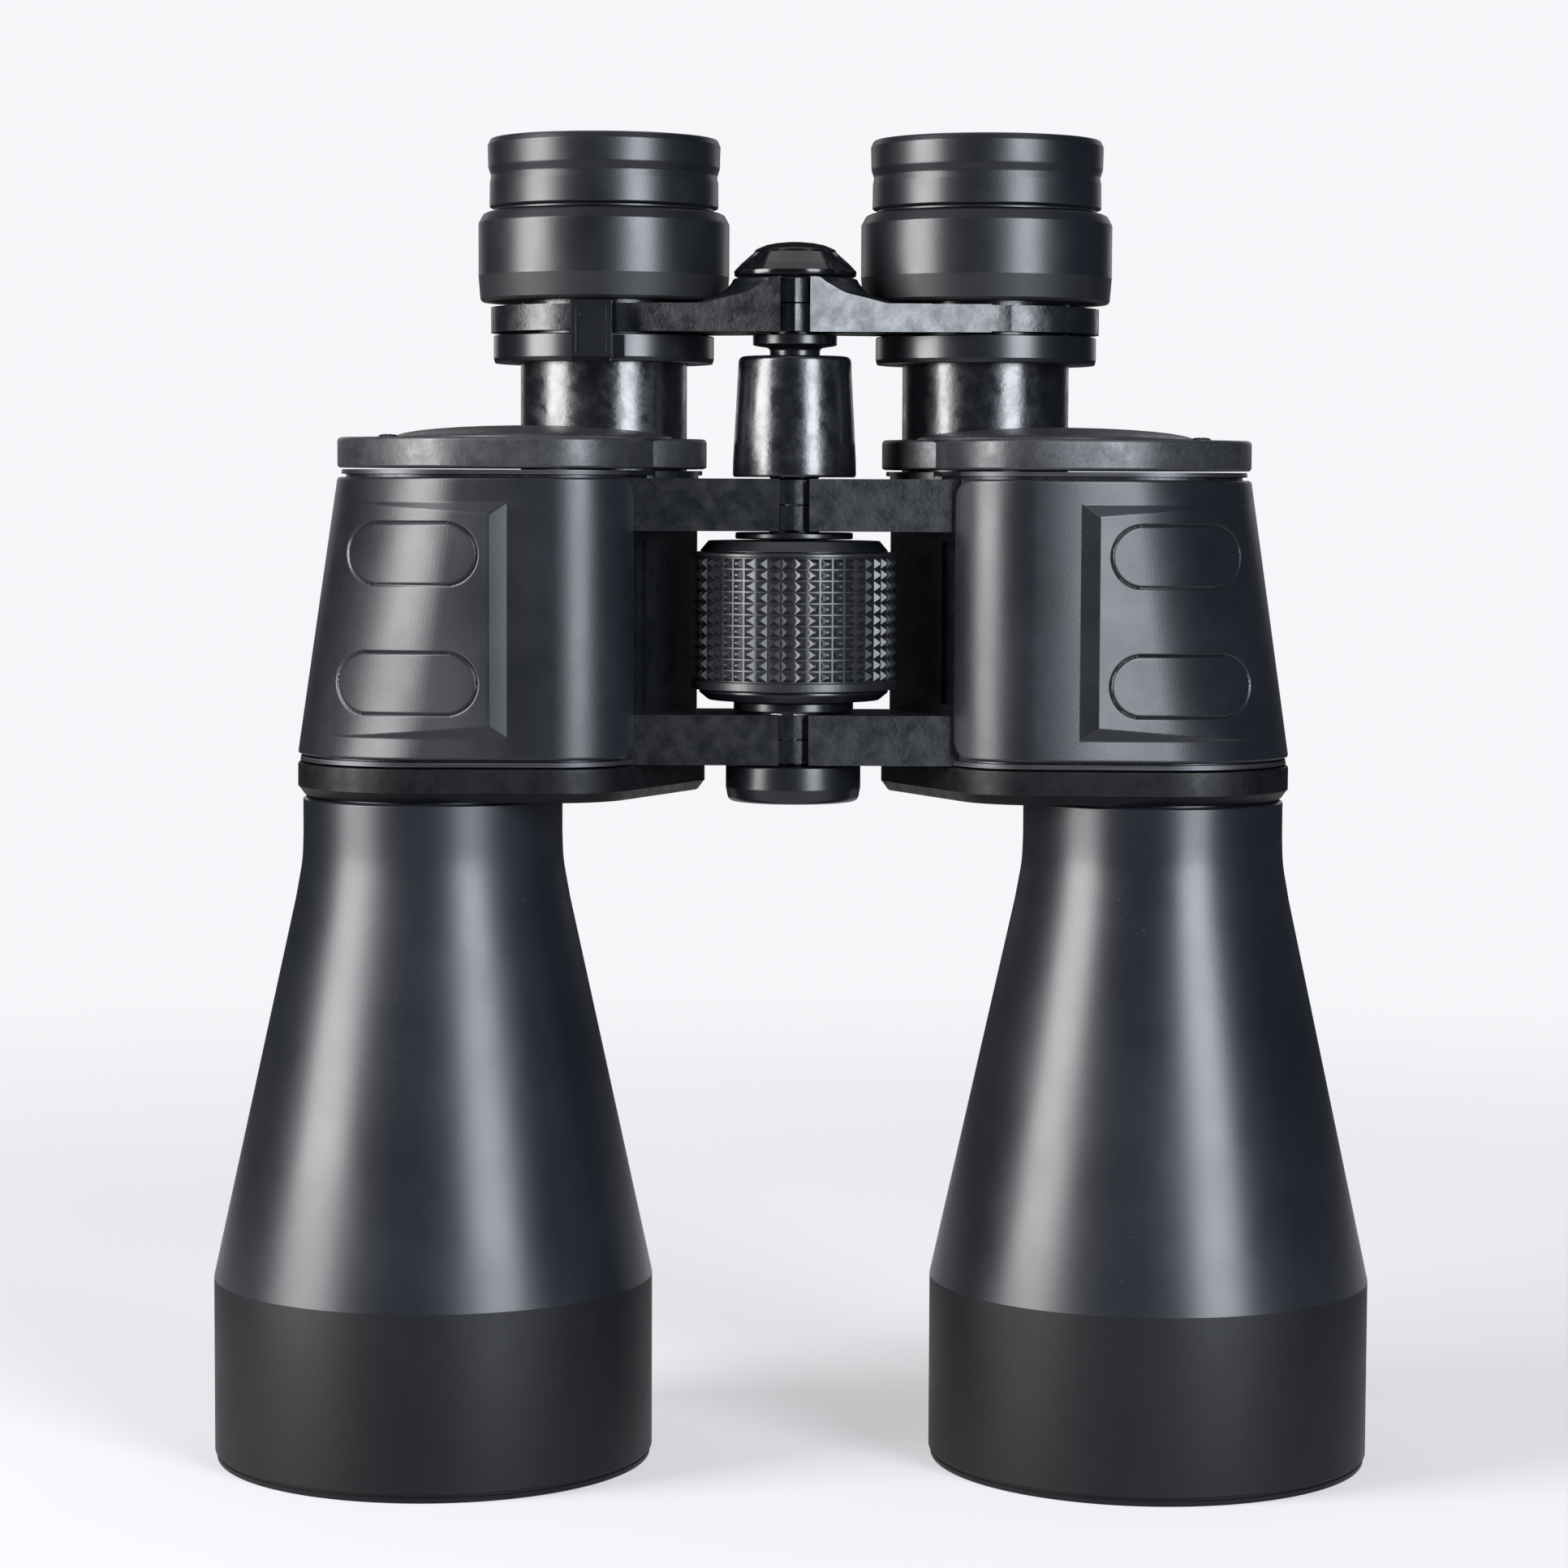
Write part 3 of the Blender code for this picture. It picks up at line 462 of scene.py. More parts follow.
def cast_paint(name, colour, roughness, depth=0.05, gloss=0.42, lean=None, crown=None):
    """Grainy paint on a casting: fine speckle, darker pits and worn lighter grains."""
    skin = Surface(name, colour, roughness, gloss=gloss)
    if lean:
        skin.lean(*lean)
    if crown:
        skin.crown(*crown)
    grain = skin.noise(1150.0, 3.0, 0.7)
    coarse = skin.noise(320.0, 3.0, 0.6)
    skin.tint(skin.remap(grain, 0.56, 0.78, 0.0, 0.8), scaled(colour, 2.6))
    skin.tint(skin.remap(coarse, 0.62, 0.75, 0.0, 0.5), scaled(colour, 0.4))
    skin.roughen(coarse, roughness - 0.08, roughness + 0.10)
    skin.bump(grain, depth)
    skin.bump(coarse, depth * 0.7)
    return skin.material


def soft_rubber(name, colour, roughness, depth=0.012, gloss=0.42, crown=None):
    """Moulded rubber: even fine tooth, slight bloom and a soft sheen."""
    skin = Surface(name, colour, roughness, gloss=gloss)
    if crown:
        skin.crown(*crown)
    bloom = skin.noise(45.0, 5.0, 0.65)
    skin.tint(skin.remap(bloom, 0.45, 0.8, 0.0, 0.55), scaled(colour, 1.7))
    skin.roughen(bloom, roughness - 0.04, roughness + 0.07)
    skin.bump(skin.noise(3200.0, 2.0, 0.7), depth)
    skin.bump(skin.noise(420.0, 2.0, 0.5), depth * 0.8, 0.5)
    skin.set({"Sheen Weight": 0.008, "Sheen Roughness": 0.5})
    return skin.material


def anodised(name, colour, roughness):
    """Turned and blackened metal: fine rings left by the tool."""
    skin = Surface(name, colour, roughness, 0.85)
    rings = skin.noise(1.0, 2.0, 0.6, skin.stretched((40.0, 40.0, 5200.0)))
    skin.tint(skin.remap(rings, 0.55, 0.8, 0.0, 0.6), scaled(colour, 2.4))
    skin.roughen(rings, roughness - 0.06, roughness + 0.08)
    skin.bump(rings, 0.006)
    return skin.material


def bare_metal(name, colour, roughness, stain):
    """Turned steel or brass with tool rings and a little staining."""
    skin = Surface(name, colour, roughness, 1.0)
    rings = skin.noise(1.0, 3.0, 0.6, skin.stretched((30.0, 30.0, 4200.0)))
    cloud = skin.noise(160.0, 4.0, 0.6)
    skin.tint(skin.remap(cloud, 0.5, 0.75, 0.0, 0.5), stain)
    skin.roughen(rings, roughness - 0.07, roughness + 0.12)
    skin.bump(rings, 0.008)
    return skin.material


def optic(name, tint, film):
    """Clear glass with a thin anti-reflection film; a trace of dust on the surface."""
    skin = Surface(name, tint, 0.02, gloss=0.5)
    skin.set({"Transmission Weight": 0.9, "IOR": 1.52, "Thin Film Thickness": film,
              "Thin Film IOR": 1.38})
    dust = skin.noise(900.0, 2.0, 0.5)
    skin.roughen(skin.remap(dust, 0.62, 0.72, 0.3, 0.7), 0.015, 0.10)
    skin.bump(skin.noise(60.0, 1.0, 0.4), 0.002, 0.3)
    return skin.material


BODY_CROWN = (42.0, 88.0, 9.2)


def make_materials():
    """All finishes of the object."""
    return {
        "barrel": satin_paint("barrel_satin", (0.0040, 0.0048, 0.0075), 0.34),
        "barrel_inside": cast_paint("barrel_inside_flat", (0.006, 0.006, 0.007), 0.75, 0.02),
        "skin": soft_rubber("body_rubber", (0.0040, 0.0046, 0.0070), 0.35, crown=BODY_CROWN),
        "barrel_band": soft_rubber("barrel_band_rubber", (0.0030, 0.0032, 0.0040), 0.50, 0.016, 0.16),
        "cast": cast_paint("cast_grain", (0.0022, 0.0028, 0.0042), 0.36, lean=(0.04, 31.0)),
        "arm": cast_paint("arm_grain", (0.0024, 0.0031, 0.0047), 0.30, lean=(0.31, 39.0)),
        # Eyepiece covers: base colour about six times lighter than the other cast paints, a painted
        # highlight on the top of each body.
        "cover": cast_paint("cover_grain", (0.0130, 0.0136, 0.0160), 0.40, 0.040, 0.50,
                            crown=BODY_CROWN),
        "lower_cover": cast_paint("lower_cover_grain", (0.0016, 0.0018, 0.0024), 0.46, 0.035, 0.16),
        "sleeve": cast_paint("sleeve_grain", (0.0028, 0.0033, 0.0046), 0.25, 0.030, 0.62),
        "gloss": satin_paint("gloss_black", (0.0020, 0.0022, 0.0028), 0.15, 1400.0, 0.003),
        "ring": satin_paint("ring_satin", (0.0028, 0.0033, 0.0048), 0.27, 1700.0, 0.006),
        "eyecup": soft_rubber("eyecup_rubber", (0.0030, 0.0036, 0.0055), 0.33),
        "eyecup_band": soft_rubber("eyecup_band_rubber", (0.0035, 0.0039, 0.0054), 0.50, 0.02, 0.28),
        "knurl": soft_rubber("knurl_rubber", (0.0045, 0.0050, 0.0066), 0.33, 0.008, 0.50),
        "black_metal": anodised("blackened_metal", (0.020, 0.021, 0.024), 0.34),
        "seam": anodised("seam_metal", (0.045, 0.045, 0.050), 0.42),
        "steel": bare_metal("turned_steel", (0.56, 0.57, 0.59), 0.28, (0.30, 0.29, 0.28)),
        "brass": bare_metal("turned_brass", (0.74, 0.53, 0.24), 0.28, (0.38, 0.25, 0.12)),
        "glass": optic("coated_glass", (0.93, 0.96, 0.97), 420.0),
        "prism": optic("prism_glass", (0.95, 0.97, 0.95), 240.0),
    }


# ---------------- objective barrels

BARREL_WALL = 2.3
BAND_HEIGHT = 33.9
NECK_R = 23.8
SPIGOT_R = 21.5
RING_R = 33.6


def make_barrel(tag, mats):
    """Long objective barrel with its lip, soft shoulder, concave neck and ribbed inside."""
    node = f"objective_barrel_{tag}"
    low, high, outer = round_size(node)
    bore = outer - BARREL_WALL
    spigot_z = low_of(f"objective_cover_{tag}").z - 0.3
    ribs = repeated(low + 27.0, low + 32.5, 1.0, ((bore, 0.0), (bore + 0.35, 0.7)))
    profile = [
        (bore, low, 0.3), (outer - 0.45, low, 0.35), (outer - 0.3, low + 1.0),
        (outer - 0.55, low + 1.15), (outer - 0.55, low + 1.4), (outer, low + 1.6, 0.35),
        (outer, low + BAND_HEIGHT), (25.2, low + 104.0, 22.0), (NECK_R + 0.15, low + 111.0, 30.0),
        (NECK_R, low + 116.0), (NECK_R, spigot_z - 0.3, 0.25), (NECK_R - 0.5, spigot_z),
        (SPIGOT_R, spigot_z), (SPIGOT_R, high), (19.5, high), (19.5, low + 113.0, 8.0),
        (22.7, low + 102.0, 8.0), (bore, low + BAND_HEIGHT), *reversed(ribs), (bore, low + 9.0),
    ]
    barrel = turn_piece(node, "shell", profile, BODY[tag], mats["barrel"], "satin_black",
                        axis_of(node), segments=192, steps=7, sharp=24.0)
    paint_barrel(barrel, mats, axis_of(node), low + BAND_HEIGHT)


def paint_barrel(barrel, mats, centre, band_top):
    """Flat black on faces that look towards the axis, and a matte band round the mouth."""
    barrel.data.materials.append(mats["barrel_inside"])
    barrel.data.materials.append(mats["barrel_band"])
    for face in barrel.data.polygons:
        out = Vector((face.center.x - centre[0] * MM, face.center.y - centre[1] * MM, 0.0))
        if face.normal.dot(out) < -0.15 * out.length:
            face.material_index = 1
        elif face.center.z < band_top * MM:
            face.material_index = 2


def make_lens(node, bulge, body, mats):
    """A lens with two round faces, inside its CAD node's height."""
    low, high, radius = round_size(node)
    steps = 14
    rings = [step / steps for step in range(steps + 1)]
    under = [(radius * share, low + bulge * share ** 2) for share in rings]
    over = [(radius * share, high - bulge * share ** 2) for share in reversed(rings)]
    turn_piece(node, "glass", under + over, body, mats["glass"], "coated_glass", axis_of(node),
               segments=96)


def make_objective(tag, mats):
    """Front lens, its cell and the slotted retaining ring."""
    body = BODY[tag]
    make_lens(f"objective_crown_lens_{tag}", 2.0, body, mats)
    node = f"objective_cell_{tag}"
    centre = axis_of(node)
    low, high, outer = round_size(node)
    cell = [(35.3, low, 0.3), (outer, low, 0.4), (outer, high, 0.4), (33.0, high, 0.3),
            (33.0, high - 2.0), (35.3, high - 2.0)]
    turn_piece(node, "body", cell, body, mats["black_metal"], "blackened_metal", centre)
    node = f"objective_ring_{tag}"
    low, high = heights(node)
    front = [(RING_R, low + 1.6), (RING_R + 0.5, low + 0.9), (RING_R + 1.0, low + 0.6),
             (RING_R + 1.5, low + 0.2), (RING_R + 2.0, low, 0.2), (outer, low, 0.3), (outer, high),
             (RING_R, high)]
    ring = turned(node + "_threaded", front, centre)
    for angle in (45.0, 225.0):
        slot = spoke(centre, math.radians(angle), RING_R - 0.6, outer + 1.0, -0.9, 0.9)
        cut(ring, plate("slot_tool", slot, low - 1.0, low + 1.2))
    dress(ring, body, mats["black_metal"], "blackened_metal", node)


# ---------------- rubber skin

SKIN_DEPTH = 1.18
ARC_STEPS = 48
FRONT_END_Y = -12.6
BACK_END_Y = 24.0
END_ROUNDING = 4.6
EDGE_ROUNDING = 0.55
PANEL_EDGE_X = 51.1
PANEL_TOP_X = 54.4
PANEL_FADE_X = 83.0
PANEL_Z = (134.6, 176.7)
PANEL_BEVEL_Z = 2.2
PANEL_RISE = 1.25
PADS = ((56.5, 80.1, 161.9, 173.0), (56.5, 82.0, 138.8, 149.9))
PAD_GROOVE = 0.27
PAD_GROOVE_DEPTH = 0.36
PAD_RISE = 0.10
RELIEF_END_Y = -6.0
SKIN_COLUMNS = ((0, 6, 0.0, 1.0), (1, 44, 0.0, 1.0), (2, 150, 0.0, 1.0), (3, 150, 0.0, 0.62),
                (3, 14, 0.62, 1.0), (4, 3, 0.0, 1.0), (5, 30, 0.0, 1.0), (6, 16, 0.0, 1.0),
                (7, 12, 0.0, 1.0), (8, 4, 0.0, 1.0))
SKIN_ROWS = ((0.0, 0.7, 6), (0.7, 3.4, 5), (3.4, 46.6, 250), (46.6, 49.8, 5), (49.8, 50.5, 6))


def skin_path(outer_x, stations):
    """Points and outward normals of the skin's plan outline at fixed shares of its parts."""
    arcs = [[Vector(point) for point in arc] for arc in corner_arcs(body_corners(outer_x), ARC_STEPS)]
    inner_front, tip, inner_back = arcs[1], arcs[2], arcs[3]
    parts = [
        (point_at_y(inner_front[-1], tip[0], FRONT_END_Y), inner_front[-1]),
        list(reversed(inner_front)), (inner_front[0], arcs[0][-1]), list(reversed(arcs[0])),
        (arcs[0][0], arcs[4][-1]), list(reversed(arcs[4])), (arcs[4][0], inner_back[-1]),
        list(reversed(inner_back)),
        (inner_back[0], point_at_y(inner_back[0], tip[-1], BACK_END_Y)),
    ]
    return [along_part(parts[index], share) for index, share in stations]


def point_at_y(start, end, y):
    """Where a straight side reaches a given y."""
    share = (y - start.y) / (end.y - start.y)
    return start + (end - start) * share


def along_part(part, share):
    """A point at a share of a polyline's length, taken as evenly spaced points."""
    position = share * (len(part) - 1)
    index = min(int(position), len(part) - 2)
    return part[index] + (part[index + 1] - part[index]) * (position - index)


def skin_stations():
    """Where the skin has columns: close together across the thumb panel."""
    stations = []
    for index, count, start, end in SKIN_COLUMNS:
        stations += [(index, start + (end - start) * step / count) for step in range(count)]
    return stations + [(8, 1.0)]


def skin_rows():
    """Heights above the skin's lower edge, close together across the thumb panel."""
    rows = []
    for start, end, count in SKIN_ROWS:
        rows += [start + (end - start) * step / count for step in range(count)]
    return rows + [SKIN_ROWS[-1][1]]


def smooth(value, low, high):
    """Smooth ramp from 0 at low to 1 at high."""
    share = ramp(value, low, high)
    return share * share * (3.0 - 2.0 * share)


def ramp(value, low, high):
    """Straight ramp from 0 at low to 1 at high."""
    return min(max((value - low) / (high - low), 0.0), 1.0)


def pad_height(x, z):
    """Groove round each stadium-shaped pad, and the pad's slight rise."""
    total = 0.0
    for x_low, x_high, z_low, z_high in PADS:
        radius = (z_high - z_low) / 2.0
        middle = (z_low + z_high) / 2.0
        nearest = min(max(x, x_low + radius), x_high - radius)
        edge = math.hypot(x - nearest, z - middle) - radius
        total -= PAD_GROOVE_DEPTH * max(0.0, 1.0 - abs(edge) / PAD_GROOVE)
        total += PAD_RISE * smooth(-edge, 0.1, 0.5)
    return total


def skin_relief(x, y, z):
    """Height of the thumb panel and pads above the plain skin; x is measured from the hinge."""
    if y > RELIEF_END_Y:
        return 0.0
    low, high = PANEL_Z
    fade = 1.0 - ramp(x, PANEL_TOP_X, PANEL_FADE_X)
    band = PANEL_BEVEL_Z * max(fade, 0.12)
    panel = min(ramp(x, PANEL_EDGE_X, PANEL_TOP_X), ramp(high - z, 0.0, band),
                ramp(z - low, 0.0, band)) * fade
    return PANEL_RISE * panel + pad_height(x, z)


def make_skin(tag, mats):
    """Rubber armour with rounded ends, thumb panel and two pads."""
    side = SIDES[tag]
    stations = skin_stations()
    heights_up = skin_rows()
    top = heights_up[-1]
    low_path = skin_path(outer_reach(SKIN_LOW), stations)
    high_path = skin_path(outer_reach(SKIN_HIGH), stations)
    lengths = path_lengths(low_path)
    bm = bmesh.new()
    outer, inner = [], []
    for index, (low_point, high_point) in enumerate(zip(low_path, high_path)):
        normal = path_normal(low_path, index)
        from_end = min(lengths[index], lengths[-1] - lengths[index])
        lift = round_drop(from_end, END_ROUNDING)
        column_out, column_in = [], []
        for row in heights_up:
            z = SKIN_LOW + lift + row * (top - 2.0 * lift) / top
            share = (z - SKIN_LOW) / (SKIN_HIGH - SKIN_LOW)
            point = low_point + (high_point - low_point) * share
            edge = min(z - SKIN_LOW - lift, SKIN_HIGH - lift - z, from_end)
            face = point + normal * (skin_relief(point.x, point.y, z) - round_drop(edge, EDGE_ROUNDING))
            column_out.append(bm.verts.new((side * face.x, face.y, z)))
            if row in (0.0, top):
                back = point - normal * SKIN_DEPTH
                column_in.append(bm.verts.new((side * back.x, back.y, z)))
        outer.append(column_out)
        inner.append(column_in)
    close_shell(bm, outer, inner)
    skin = add_mesh(f"body_skin_{tag}_rubber", bm, 60.0)
    dress(skin, BODY[tag], mats["skin"], "rubber_skin", f"body_skin_{tag}")


def path_lengths(path):
    """Running length along a path."""
    return [0.0, *accumulate((after - before).length for before, after in zip(path, path[1:]))]


def path_normal(path, index):
    """Outward normal of a path that runs with the body on its right-hand side."""
    before = path[max(index - 1, 0)]
    after = path[min(index + 1, len(path) - 1)]
    along = (after - before).normalized()
    return Vector((along.y, -along.x))


def round_drop(distance, radius):
    """How far a rounded edge falls away at a distance from its end."""
    across = radius - min(max(distance, 0.0), radius)
    return radius - math.sqrt(radius ** 2 - across ** 2)


def close_shell(bm, outer, inner):
    """Faces of the outer surface, the plain inner one and the edges between them."""
    columns = len(outer)
    rows = len(outer[0])
    for c in range(columns - 1):
        for r in range(rows - 1):
            bm.faces.new((outer[c][r], outer[c + 1][r], outer[c + 1][r + 1], outer[c][r + 1]))
        bm.faces.new((inner[c][0], inner[c][1], inner[c + 1][1], inner[c + 1][0]))
        bm.faces.new((outer[c][0], inner[c][0], inner[c + 1][0], outer[c + 1][0]))
        bm.faces.new((outer[c][-1], outer[c + 1][-1], inner[c + 1][1], inner[c][1]))
    bm.faces.new(outer[0] + inner[0][::-1])
    bm.faces.new(outer[-1] + inner[-1][::-1])


# ---------------- housings and covers

LUG_FRONT = -11.7
LUG_BACK = 11.7
SLOT_X = 2.7
SLOT_BACK_X = 5.8
LUGS = {"upper": (171.6, 181.1), "lower": (129.2, 138.3)}
KNUCKLE_R = 9.5
PIN_BORE_R = 7.3
CASTING_LOW = 129.4
CASTING_WALL = 3.6
BOSS_R = 17.6
BOSS_LOW = 174.7
GUIDE_STEP = 175.3
CHANNEL_Z = (140.2, 169.8)
COVER_RIM_Z = 188.3
DOME_CENTRE = (48.0, 2.5)
DOME_HALF = (25.6, 19.3)
COLLAR_R = 19.1


def make_housing(tag, mats):
    """Housing shell with seam flanges, hinge lugs, knuckles and the eyepiece boss."""
    side = SIDES[tag]
    eyepiece = (side * EYEPIECE_X, EYEPIECE_Y)
    node = f"prism_housing_{tag}"
    low, high = CASTING_LOW, HOUSING_HIGH
    flanges = ((low, 0.6), (low + 0.8, 0.6), (low + 0.9, 1.5), (high - 0.9, 1.5), (high - 0.8, 0.6),
               (high, 0.6))
    shell = body_stack(node + "_casting", side, flanges)
    hollow = ((low - OVERSHOOT, CASTING_WALL), (high + OVERSHOOT, CASTING_WALL))
    cut(shell, body_stack("hollow_tool", side, hollow))
    fuse(shell, rod("boss_tool", BOSS_R, BOSS_LOW, high - 0.1, eyepiece))
    for level, (z_low, z_high) in LUGS.items():
        add_lug(shell, side, level, z_low, z_high)
    guide = [(0.0, 171.0), (11.0, 171.0), (11.0, GUIDE_STEP), (BORE_R, GUIDE_STEP),
             (BORE_R, high + OVERSHOOT), (0.0, high + OVERSHOOT)]
    cut(shell, turned("guide_tool", guide, eyepiece))
    cut(shell, wall_channel(side))
    bevel(shell, 0.28)
    dress(shell, BODY[tag], mats["cast"], "cast_black", node)
    add_seams(shell, mats["seam"], low, high)


def add_seams(shell, material, low, high):
    """The thin edges of the casting in the two seams are rubbed to bright metal."""
    shell.data.materials.append(material)
    for face in shell.data.polygons:
        z = face.center.z / MM
        near = low - 0.1 < z < low + 0.9 or high - 0.9 < z < high + 0.1
        if near and abs(face.normal.z) < 0.9 and abs(face.center.x) > 29.0 * MM:
            face.material_index = 1


def wall_channel(side):
    """Shallow upright recess in the slanted wall beside the skin's end."""
    corners = [(29.7, -11.1), (26.7, -5.0), (27.9, -4.4), (30.9, -10.5)]
    return plate("channel_tool", [(side * x, y) for x, y in corners], *CHANNEL_Z)


def add_knuckle(target, radius, owns_top, low, middle, high, bore_r):
    """A half-height knuckle, the room for the other side's knuckle, and the axle's bore."""
    upper = (middle + HALF_GAP, high - 0.2)
    lower = (low + 0.2, middle - HALF_GAP)
    own = upper if owns_top else lower
    room = (low - 1.0, middle + HALF_GAP) if owns_top else (middle - HALF_GAP, high + 1.0)
    cut(target, rod("pocket_tool", radius + 2.0 * HALF_GAP, *room))
    fuse(target, rod("knuckle_tool", radius, *own))
    cut(target, rod("bore_tool", bore_r, low - 1.0, high + 1.0, segments=SMALL_ROUND))


def add_lug(shell, side, level, low, high):
    """One hinge lug with its half of the knuckle."""
    points = [(SLOT_X, LUG_FRONT), (31.2, LUG_FRONT), (20.5, LUG_BACK), (SLOT_BACK_X, LUG_BACK),
              (SLOT_X, 1.0)]
    fuse(shell, plate("lug_tool", [(side * x, y) for x, y in points], low, high))
    owns_top = (side < 0) == (level == "upper")
    add_knuckle(shell, KNUCKLE_R, owns_top, low, (low + high) / 2.0, high, PIN_BORE_R)


def dome_outline(side, share):
    """Plan ellipse of the eyepiece cover's dome at a share of its full size."""
    turns = [2.0 * math.pi * step / ROUND for step in range(ROUND)]
    return [(side * (DOME_CENTRE[0] + DOME_HALF[0] * share * math.cos(turn)),
             DOME_CENTRE[1] + DOME_HALF[1] * share * math.sin(turn)) for turn in turns]


def make_eyepiece_cover(tag, mats):
    """Cover with a rounded rim, a shallow dome and a collar round the draw tube; its light base colour is
    a painted highlight.
    """
    side = SIDES[tag]
    node = f"eyepiece_cover_{tag}"
    low, high = heights(node)
    rim = COVER_RIM_Z
    shape = ((low, 0.45), (low + 0.2, 0.15), (low + 0.5, 0.0), (rim - 0.7, 0.0), (rim - 0.4, 0.06),
             (rim - 0.15, 0.25), (rim, 0.6), (rim + 0.02, 2.0))
    cover = body_stack(node + "_cast", side, shape, OUTER_HIGH)
    dome = [(dome_outline(side, math.cos(angle)), rim + (high - rim) * math.sin(angle))
            for angle in (-0.25, 0.0, 0.12, 0.25, 0.4, 0.6, 0.8, 1.0, 1.2, 1.4, 1.5)]
    fuse(cover, stacked("dome_tool", dome))
    centre = (side * EYEPIECE_X, EYEPIECE_Y)
    collar = [(0.0, low + 0.1), (COLLAR_R, low + 0.1, 0.4), (COLLAR_R, rim + 0.02, 0.7),
              (0.0, rim + 0.02)]
    fuse(cover, turned("collar_tool", collar, centre))
    cut(cover, rod("bore_tool", BORE_R, low - OVERSHOOT, high + OVERSHOOT, centre))
    for index in (1, 2):
        screw = f"cover_screw_{tag}{index}"
        cut(cover, rod("seat_tool", 2.4, low_of(screw).z - 0.3, high + OVERSHOOT, axis_of(screw),
                       SMALL_ROUND))
        make_cover_screw(screw, BODY[tag], mats)
    shade(cover.data, 30.0)
    dress(cover, BODY[tag], mats["cover"], "cast_black", node)


def make_objective_cover(tag, mats):
    """Plain cover that tapers towards the barrel."""
    side = SIDES[tag]
    node = f"objective_cover_{tag}"
    low, high = heights(node)
    shape = ((low, 1.5), (low + 0.3, 1.15), (low + 1.5, 0.3), (low + 1.8, 0.0), (high - 0.5, 0.0),
             (high - 0.15, 0.15), (high, 0.5))
    cover = body_stack(node + "_cast", side, shape, OUTER_LOW)
    cut(cover, rod("seat_tool", SPIGOT_R + 0.3, low - OVERSHOOT, high + OVERSHOOT,
                   (side * OBJECTIVE_X, 0.0)))
    shade(cover.data, 30.0)
    dress(cover, BODY[tag], mats["lower_cover"], "cast_black", node)


def make_cover_screw(node, body, mats):
    """Small domed screw with a cross recess."""
    low, high, radius = round_size(node)
    centre = axis_of(node)
    head = turned(node + "_head", [(0.0, low), (radius, low), (radius, high - 0.7, 0.3),
                                   (radius * 0.7, high - 0.15, 0.5), (0.0, high)], centre, 48)
    for reach_x, reach_y in ((1.15, 0.24), (0.24, 1.15)):
        recess = spoke(centre, 0.0, -reach_x, reach_x, -reach_y, reach_y)
        cut(head, plate("cross_tool", recess, high - 0.8, high + 1.0))
    dress(head, body, mats["black_metal"], "blackened_metal", node)


# ---------------- hinge and focus

AXLE_R = 5.1
SCREW_R = 4.6
SCREW_COLLAR_Z = (205.3, 207.3)
THREAD_PITCH = 1.2


def make_hinge(mats):
    """Sleeve, washers, upper axle half, bush and the tripod-socket cap."""
    low, high, radius = round_size("focus_sleeve")
    sleeve = [(AXLE_R, low), (radius - 0.2, low, 0.2), (radius, low + 0.5),
              (radius - 0.05, low + 3.0, 9.0), (10.35, high - 2.0), (10.25, high, 1.3),
              (5.6, high, 0.3), (AXLE_R, high - 0.5)]
    turn_piece("focus_sleeve", "cone", sleeve, "left_body", mats["sleeve"], "satin_black")
    for node in ("wheel_washer_upper", "wheel_washer_lower"):
        low, high, radius = round_size(node)
        washer = [(5.4, low), (radius, low, 0.3), (radius, high, 0.3), (5.4, high)]
        turn_piece(node, "turned", washer, "left_body", mats["ring"], "blackened_metal")
    low, high, radius = round_size("tripod_cap")
    rim = high - 4.5
    cap = [(0.0, low + 0.2), (radius - 2.4, low + 0.05, 0.6), (radius - 0.5, low, 1.1),
           (radius, low + 2.6, 1.5), (radius, rim, 0.35), (2.9, rim), (2.9, high, 0.3), (0.0, high)]
    turn_piece("tripod_cap", "moulded", cap, "tripod_plug", mats["ring"], "satin_black")
    low, high = heights("hinge_axle_upper")
    axle = [(AXLE_R, low), (7.0, low, 0.3), (7.0, high, 0.3), (AXLE_R, high)]
    turn_piece("hinge_axle_upper", "turned", axle, "left_body", mats["steel"], "steel",
               segments=SMALL_ROUND)
    low, high = heights("tripod_bush")
    thread = repeated(low + 0.6, high - THREAD_PITCH, THREAD_PITCH, ((3.3, 0.0), (3.65, 0.6)))
    bush = [(3.9, low), (AXLE_R, low, 0.2), (AXLE_R, high, 0.2), (3.3, high), *reversed(thread)]
    turn_piece("tripod_bush", "threaded", bush, "left_body", mats["brass"], "brass",
               segments=SMALL_ROUND)


KNURL_ROWS = 11
KNURL_COLUMNS = 48
KNURL_DEPTH = 0.72
KNURL_CELL = (0.07, 0.42, 0.58, 0.93)
KNURL_CREST = KNURL_CELL[1:3]
KNURL_INNER_R = 15.3
KNURL_MARGIN = 2.6


